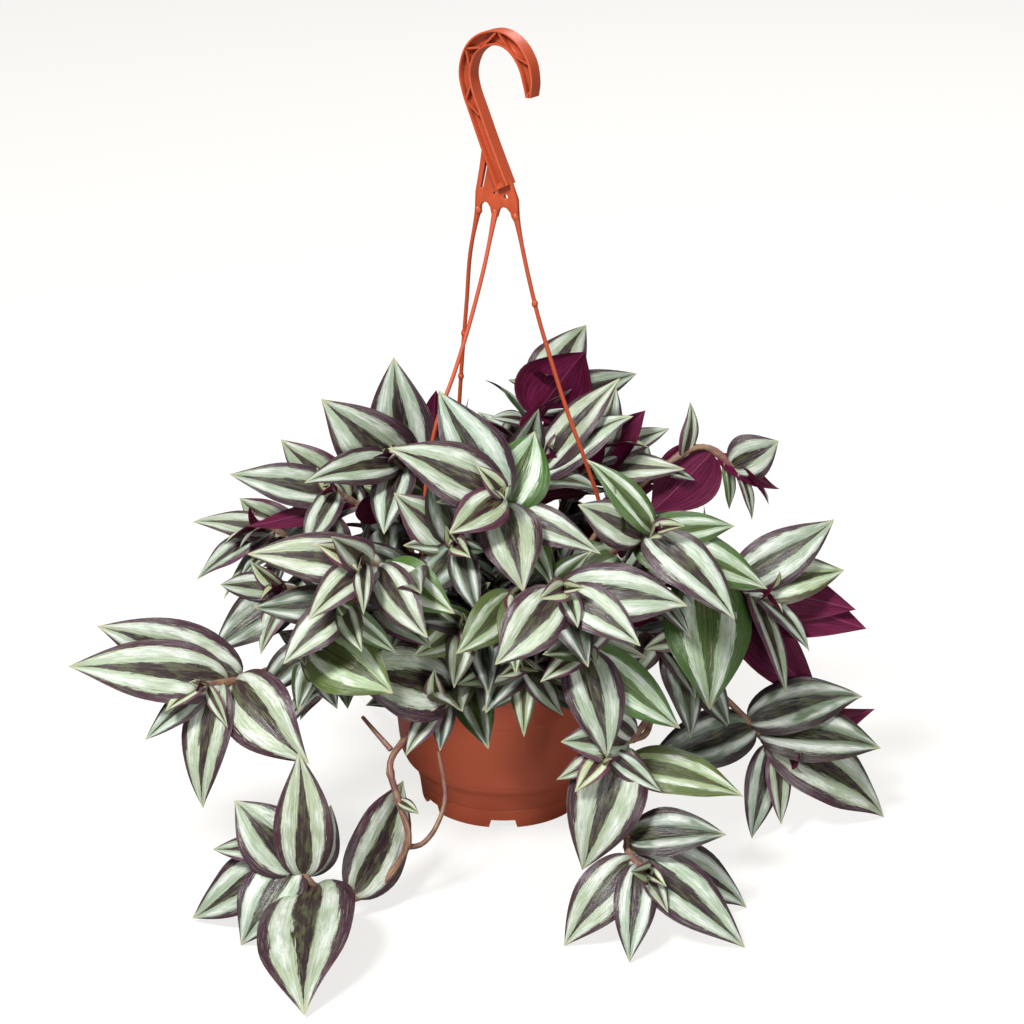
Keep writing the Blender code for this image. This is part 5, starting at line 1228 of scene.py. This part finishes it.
def peat():
    """Soil: dark crumbs and fibres with pale specks of grit."""
    net = Net("peat")
    calc, ramp, cover = net.calc, net.ramp, net.cover
    place = net.node("ShaderNodeTexCoord").outputs["Object"]
    crumb = net.noise(place, 260.0, 5.0, 0.7)
    clod = net.noise(place, 70.0, 4.0, 0.6)
    colour = net.mix(ramp(crumb, 0.35, 0.7), linear(30, 22, 17), linear(88, 66, 50))
    colour = cover(ramp(clod, 0.4, 0.7), 0.5, colour, linear(56, 42, 32))
    cells = net.node("ShaderNodeTexVoronoi", {"Vector": place, "Scale": 330.0}).outputs["Distance"]
    grit = net.rest(ramp(cells, 0.1, 0.2))
    colour = cover(grit, ramp(clod, 0.55, 0.6), colour, linear(170, 160, 146))
    net.bump(calc("ADD", crumb, clod), 0.9, 0.002)
    return net.finish(Base_Color=colour, Roughness=0.92)


# ---- pot, soil and hanger ----
def turned_piece(name, profile, around, materials):
    """A solid of revolution: each point of the profile, a closed loop, at every one of around equal turns."""
    p = np.asarray(profile, float)
    t = bearings(around)
    grid = np.stack([p[None, :, 0] * np.cos(t)[:, None], p[None, :, 0] * np.sin(t)[:, None],
                     np.broadcast_to(p[None, :, 1], (around, len(p)))], axis=-1)
    i, j = np.meshgrid(np.arange(around), np.arange(len(p)), indexing="ij")
    here, beyond, down = i * len(p), (i + 1) % around * len(p), (j + 1) % len(p)
    faces = np.stack([here + j, beyond + j, beyond + down, here + down], axis=-1).reshape(-1, 4)
    return outward(mesh_from(name, grid.reshape(-1, 3), faces.tolist(), materials))


def eased(profile, radius=0.6, steps=3):
    """The profile with each corner cut to a short quadratic, from radius before it to radius after it."""
    p = np.asarray(profile, float)
    out = []
    for a, b, c in zip(np.roll(p, 1, axis=0), p, np.roll(p, -1, axis=0)):
        if b[0] < 0.01:
            out.append(b)
            continue
        ra, rc = (min(radius, 0.4 * np.linalg.norm(x - b)) for x in (a, c))
        s, e = b + unit(a - b) * ra, b + unit(c - b) * rc
        out += [(1 - t) ** 2 * s + 2 * (1 - t) * t * b + t * t * e for t in np.linspace(0, 1, steps)]
    return out


def cut_away(o, cutter):
    """The piece less the cutter, which is deleted."""
    b = o.modifiers.new("cut", "BOOLEAN")
    b.object, b.operation, b.solver = cutter, "DIFFERENCE", "EXACT"
    bpy.context.view_layer.update()
    mesh = bpy.data.meshes.new_from_object(o.evaluated_get(bpy.context.evaluated_depsgraph_get()))
    o.modifiers.clear()
    o.data = mesh
    bpy.data.objects.remove(cutter)
    return o


def crisp(o, angle):
    """Edges sharper than angle, in degrees, are shaded sharp."""
    o.data.set_sharp_from_angle(angle=math.radians(angle))
    return o


def hexahedra(name, corners):
    """Closed six-faced blocks, eight corners each: four below going round, then the four above them."""
    corners = np.asarray(corners, float).reshape(-1, 8, 3)
    block = np.array([(0, 3, 2, 1), (4, 5, 6, 7), (0, 1, 5, 4), (1, 2, 6, 5), (2, 3, 7, 6), (3, 0, 4, 7)])
    faces = (np.arange(len(corners))[:, None, None] * 8 + block[None]).reshape(-1, 4)
    return outward(mesh_from(name, corners.reshape(-1, 3), faces.tolist(), []))


def slab(name, near, far):
    """A closed piece between two outlines with equally many points, each opposite its own of the other."""
    n = len(near)
    sides = [(i, (i + 1) % n, n + (i + 1) % n, n + i) for i in range(n)]
    faces = [list(range(n))[::-1], [n + i for i in range(n)]] + sides
    return outward(mesh_from(name, [*near, *far], faces, []))


def ease_edges(o, width):
    """A small bevel of two steps on the piece's sharp edges, its width in metres."""
    bevel = o.modifiers.new("eased", "BEVEL")
    bevel.width, bevel.segments, bevel.limit_method = width, 2, "ANGLE"
    return o


def make_pot(plastic):
    """The pot: its eased profile turned, less the notches in its foot ring and the holes in its floor."""
    pot = turned_piece("pot_shell", eased(POT_OUTER + POT_INNER), POT_SIDES, [plastic])
    notches, (near, far) = [], NOTCH_REACH
    for a in -0.5 * math.pi + np.arange(NOTCHES) * 2 * math.pi / NOTCHES:
        for z, half in ((NOTCH_LOW, 0.5 * NOTCH_WIDTH), (NOTCH_HEIGHT, 0.5 * NOTCH_TOP)):
            for x, y in ((near, -half), (far, -half), (far, half), (near, half)):
                notches.append((x * math.cos(a) - y * math.sin(a), x * math.sin(a) + y * math.cos(a), z))
    cut_away(pot, hexahedra("notches", notches))
    t = bearings(DRAIN_SIDES)
    for a in (np.arange(DRAINS) + 0.5) * 2 * math.pi / DRAINS:
        x = DRAIN_RING * math.cos(a) + DRAIN_RADIUS * np.cos(t)
        y = DRAIN_RING * math.sin(a) + DRAIN_RADIUS * np.sin(t)
        below, above = (np.column_stack([x, y, np.full(DRAIN_SIDES, z)]) for z in DRAIN_REACH)
        cut_away(pot, slab("drain", below, above))
    pot.data.materials.clear()
    pot.data.materials.append(plastic)
    return crisp(pot, 40)


def make_soil(earth):
    """Soil: the wall of the solid's own outline under an uneven top.

    The top's height is the outline's, plus SOIL_WAVE sin(x / 7 + 2) sin(y / 9 + 1) and SOIL_CRUMB times a
    random number at each point, less SOIL_SETTLED. Its edge stays at the outline's height.
    """
    edge, rim = SOIL[2]
    wall = np.array(SOIL[3:], float)
    r = np.linspace(SOIL_MIDDLE, edge, SOIL_RINGS)
    t = bearings(SOIL_SIDES)
    tops = np.array(SOIL[:3], float)
    height = np.interp(r, tops[:, 0], tops[:, 1])[:, None] + 0 * t[None]
    x, y = r[:, None] * np.cos(t), r[:, None] * np.sin(t)
    crumbs = np.random.default_rng(4).normal(size=(SOIL_RINGS, SOIL_SIDES))
    height = height + SOIL_WAVE * np.sin(x / 7 + 2) * np.sin(y / 9 + 1) + SOIL_CRUMB * crumbs - SOIL_SETTLED
    height[-1] = rim
    upper = np.stack([x, y, height], axis=-1)
    lower = np.stack([wall[:, 0, None] * np.cos(t), wall[:, 0, None] * np.sin(t),
                      np.broadcast_to(wall[:, 1, None], (len(wall), SOIL_SIDES))], axis=-1)
    verts = np.concatenate([upper, lower]).reshape(-1, 3)
    faces = [*rings(SOIL_RINGS + len(wall), SOIL_SIDES).tolist(), list(range(SOIL_SIDES))[::-1]]
    return crisp(outward(mesh_from("soil_bed", verts, faces, [earth])), 60)


def band_sections(count):
    """The hook band: along its centre line, a section like an H on its side, 24 points with eased corners."""
    line = smooth_path(np.array(HOOK, float), count)
    along = directions(line[:, :2])
    side = np.column_stack([-along[:, 1], along[:, 0]])
    half, web, ease = 0.5 * HOOK_THICK, 0.5 * HOOK_WEB, HOOK_EASE
    w = line[:, 2]
    channel = np.ones(count, bool)
    channel[:2] = channel[-2:] = False
    inner = np.maximum(w - HOOK_RIM, 0.15)
    depth = np.where(channel, web, half - 0.05)
    quarter = [(w, half - ease), (w - ease, half), (inner + ease * 0.6, half), (inner, half - ease),
               (inner - 0.1, depth + 0.3), (inner - 0.5, depth)]
    section = [(a, b + 0 * w) for a, b in quarter]
    top = section + [(-a, b) for a, b in section[::-1]]
    whole = top + [(a, -b) for a, b in top[::-1]]
    a, b = (np.stack([s[k] for s in whole], axis=1) for k in range(2))
    x, z = (line[:, k, None] + side[:, k, None] * a for k in range(2))
    return np.stack([x, b, z], axis=-1)


def in_plane(points):
    """Points of the hook's own plane, as rows, turned into the plant's frame."""
    p = np.asarray(points, float)
    c, s = math.cos(HOOK_TURN), math.sin(HOOK_TURN)
    return np.column_stack([p[:, 0] * c - p[:, 1] * s, p[:, 0] * s + p[:, 1] * c, p[:, 2]])


def make_hook():
    """The hook: its channelled band, and the ribs across the channel."""
    sections = band_sections(HOOK_POINTS)
    faces = closed_rings(*sections.shape[:2])
    band = crisp(outward(mesh_from("band", in_plane(sections.reshape(-1, 3)), faces, [])), 40)
    half = 0.5 * HOOK_THICK - RIB_BELOW
    ribs = []
    for start, end in RIBS:
        d = unit((end[0] - start[0], end[1] - start[1]))
        s = np.array([-d[1], d[0]]) * 0.5 * RIB_WIDTH
        a, b = np.array(start) + d, np.array(end) - d
        ribs += [(x, y, z) for y in (-half, half) for x, z in (a + s, a - s, b - s, b + s)]
    return [band, hexahedra("ribs", in_plane(ribs))]


def make_plate():
    """The plate under the hook, with its slot and its two holes."""
    half, through = 0.5 * PLATE_THICK, (-4, 4)
    plate = slab("plate", *([(x, y, z) for x, z in PLATE] for y in (-half, half)))
    cut_away(plate, hexahedra("slot", [(x, y, z) for y in through for x, z in PLATE_SLOT]))
    for x, z, r in PLATE_HOLES:
        circle = [(x + r * math.cos(a), z + r * math.sin(a)) for a in bearings(PLATE_HOLE_SIDES)]
        cut_away(plate, slab("hole", *([(a, y, b) for a, b in circle] for y in through)))
    co = np.empty(len(plate.data.vertices) * 3)
    plate.data.vertices.foreach_get("co", co)
    plate.data.vertices.foreach_set("co", in_plane(co.reshape(-1, 3)).ravel())
    return ease_edges(plate, 0.3 * MM)


def make_bead(centre, r):
    """A ball drawn out along Z: rings of latitude, with a small flat face at each pole."""
    lat = np.linspace(-0.5, 0.5, BEAD_RINGS + 2)[1:-1] * math.pi
    lon = bearings(STRAND_SIDES)
    ball = np.stack([r * np.cos(lat)[:, None] * np.cos(lon), r * np.cos(lat)[:, None] * np.sin(lon),
                     BEAD_STRETCH * r * np.sin(lat)[:, None] + 0 * lon], axis=-1)
    faces = closed_rings(BEAD_RINGS, STRAND_SIDES)
    return outward(mesh_from("bead", ball.reshape(-1, 3) + centre, faces, []))


def make_strand(number, strand):
    """One strand, wider under the plate, with the knuckle that it starts from and its beads."""
    line = smooth_path(strand_line(strand), STRAND_POINTS)
    radii = np.full(STRAND_POINTS, STRAND_RADIUS)
    radii[:len(STRAND_FOOT)] = STRAND_FOOT
    wire = sweep(line, radii, STRAND_SIDES).reshape(-1, 3)
    made = [outward(mesh_from("strand", wire, closed_rings(STRAND_POINTS, STRAND_SIDES), [])),
            make_bead(line[0] - (0, 0, 1.0), KNUCKLE_RADIUS)]
    for at in (at for i, at in BEADS if i == number):
        made.append(make_bead(line[round(at * (STRAND_POINTS - 1))], BEAD_RADIUS))
    return made


def make_clip(strand):
    """The clip at a strand's end: a block with a groove from below, which sits over the pot's collar."""
    x, y, _ = strand[-1]
    out = unit((x, y, 0))
    across = np.array([-out[1], out[0], 0])
    g0, g1 = CLIP_GROOVE
    shape = [(CLIP_IN, CLIP_LOW), (g0, CLIP_LOW), (g0, CLIP_GROOVE_TOP), (g1, CLIP_GROOVE_TOP),
             (g1, CLIP_LOW), (CLIP_OUT, CLIP_LOW), (CLIP_OUT, CLIP_HIGH - 1), (CLIP_OUT - 1, CLIP_HIGH),
             (CLIP_IN + 1, CLIP_HIGH), (CLIP_IN, CLIP_HIGH - 1)]
    half = 0.5 * CLIP_WIDTH
    sides = ([out * r + across * w + (0, 0, z) for r, z in shape] for w in (-half, half))
    return ease_edges(slab("clip", *sides), 0.5 * MM)


def make_hanger(plastic):
    """The hanger: hook, plate, three strands and their clips, in one moulding."""
    parts = [*make_hook(), make_plate()]
    for number, strand in enumerate(STRANDS):
        parts += [*make_strand(number, strand), make_clip(strand)]
    return joined("hanger_moulding", parts, plastic)


def joined(name, parts, mat):
    """One piece of several closed shapes, their modifiers applied."""
    bpy.context.view_layer.update()
    graph = bpy.context.evaluated_depsgraph_get()
    whole = bmesh.new()
    for o in parts:
        mesh = bpy.data.meshes.new_from_object(o.evaluated_get(graph))
        whole.from_mesh(mesh)
        bpy.data.meshes.remove(mesh)
    for o in parts:
        bpy.data.objects.remove(o)
    mesh = bpy.data.meshes.new(name)
    for f in whole.faces:
        f.smooth = True
        f.material_index = 0
    whole.to_mesh(mesh)
    whole.free()
    mesh.materials.append(mat)
    mesh.set_sharp_from_angle(angle=math.radians(38))
    o = bpy.data.objects.new(name, mesh)
    bpy.context.scene.collection.objects.link(o)
    return o


# ---- floor, light and camera ----
PAPER = (1.0, 0.99, 0.965)
WORLD_LIGHT, FLOOR_GLOW = 0.14, 0.79
LAMPS = [("key", (-1.2, -1.6, 2.7), 0.8, 122), ("fill", (1.0, -2.6, 0.7), 1.4, 32),
         ("rim", (0.9, 1.8, 2.2), 1.2, 30)]  # name, place and size in metres, power in watts
LAMPS_MEET = (0, 0, 0.2)
VIEW_TARGET, VIEW_DISTANCE, VIEW_LIFT = (0.0054, 0, 0.187), 1.55, math.radians(22)
VIEW_WIDTH, SENSOR = 0.6144, 36  # metres seen across at the target, and the camera's own width


def pale_floor():
    """The floor: white paper lit evenly from behind, so that it takes only a faint shadow."""
    net = Net("pale_floor")
    seen = net.node("ShaderNodeLightPath").outputs["Is Camera Ray"]
    net.put(net.shader.inputs["Emission Strength"], net.calc("MULTIPLY", seen, FLOOR_GLOW))
    return net.finish(Base_Color=(0.24, 0.236, 0.23), Roughness=0.95, Specular_IOR_Level=0.0,
                      Emission_Color=PAPER)


def make_studio():
    """World, floor, lamps and camera."""
    scene = bpy.context.scene
    scene.view_settings.view_transform = "Standard"
    scene.world = bpy.data.worlds.new("studio")
    scene.world.use_nodes = True
    back = scene.world.node_tree.nodes["Background"]
    back.inputs["Color"].default_value = (*PAPER, 1)
    back.inputs["Strength"].default_value = WORLD_LIGHT
    bpy.ops.mesh.primitive_plane_add(size=60, location=(0, 0, 0))
    floor = bpy.context.object
    floor.name = "floor"
    floor.data.materials.append(pale_floor())
    for name, place, size, power in LAMPS:
        data = bpy.data.lights.new(name, "AREA")
        data.shape, data.size, data.energy = "DISK", size, power
        lamp = bpy.data.objects.new(name, data)
        scene.collection.objects.link(lamp)
        lamp.location = place
        lamp.rotation_euler = (Vector(LAMPS_MEET) - Vector(place)).to_track_quat("-Z", "Y").to_euler()
    target = Vector(VIEW_TARGET)
    data = bpy.data.cameras.new("camera")
    data.sensor_width, data.lens = SENSOR, SENSOR * VIEW_DISTANCE / VIEW_WIDTH
    camera = bpy.data.objects.new("camera", data)
    scene.collection.objects.link(camera)
    camera.location = target + VIEW_DISTANCE * Vector((0, -math.cos(VIEW_LIFT), math.sin(VIEW_LIFT)))
    camera.rotation_euler = (target - camera.location).to_track_quat("-Z", "Y").to_euler()
    scene.camera = camera


make_studio()
pot = make_pot(moulded_plastic("pot_plastic", linear(234, 115, 80), linear(220, 105, 72)))
hanger = make_hanger(moulded_plastic("hanger_plastic", linear(194, 82, 47), linear(180, 77, 47)))
soil = make_soil(peat())
for piece, node in ((pot, "pot"), (hanger, "hanger"), (soil, "soil")):
    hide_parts(node)
    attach(piece, "root")
foliage = [leaf_upper(), leaf_under(), stem_skin()]
rng = random.Random(17)
taken = Taken()
for stem in grow_stems(taken):
    extra = inner_leaves(stem, taken, rng) + young_leaves(stem, taken, rng)
    piece = stem_build(stem, rng, extra).piece("shoot_" + stem["name"][len("leafy_stem_"):], foliage)
    piece.data.set_sharp_from_angle(angle=math.radians(70))
    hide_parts(stem["name"])
    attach(piece, "root")
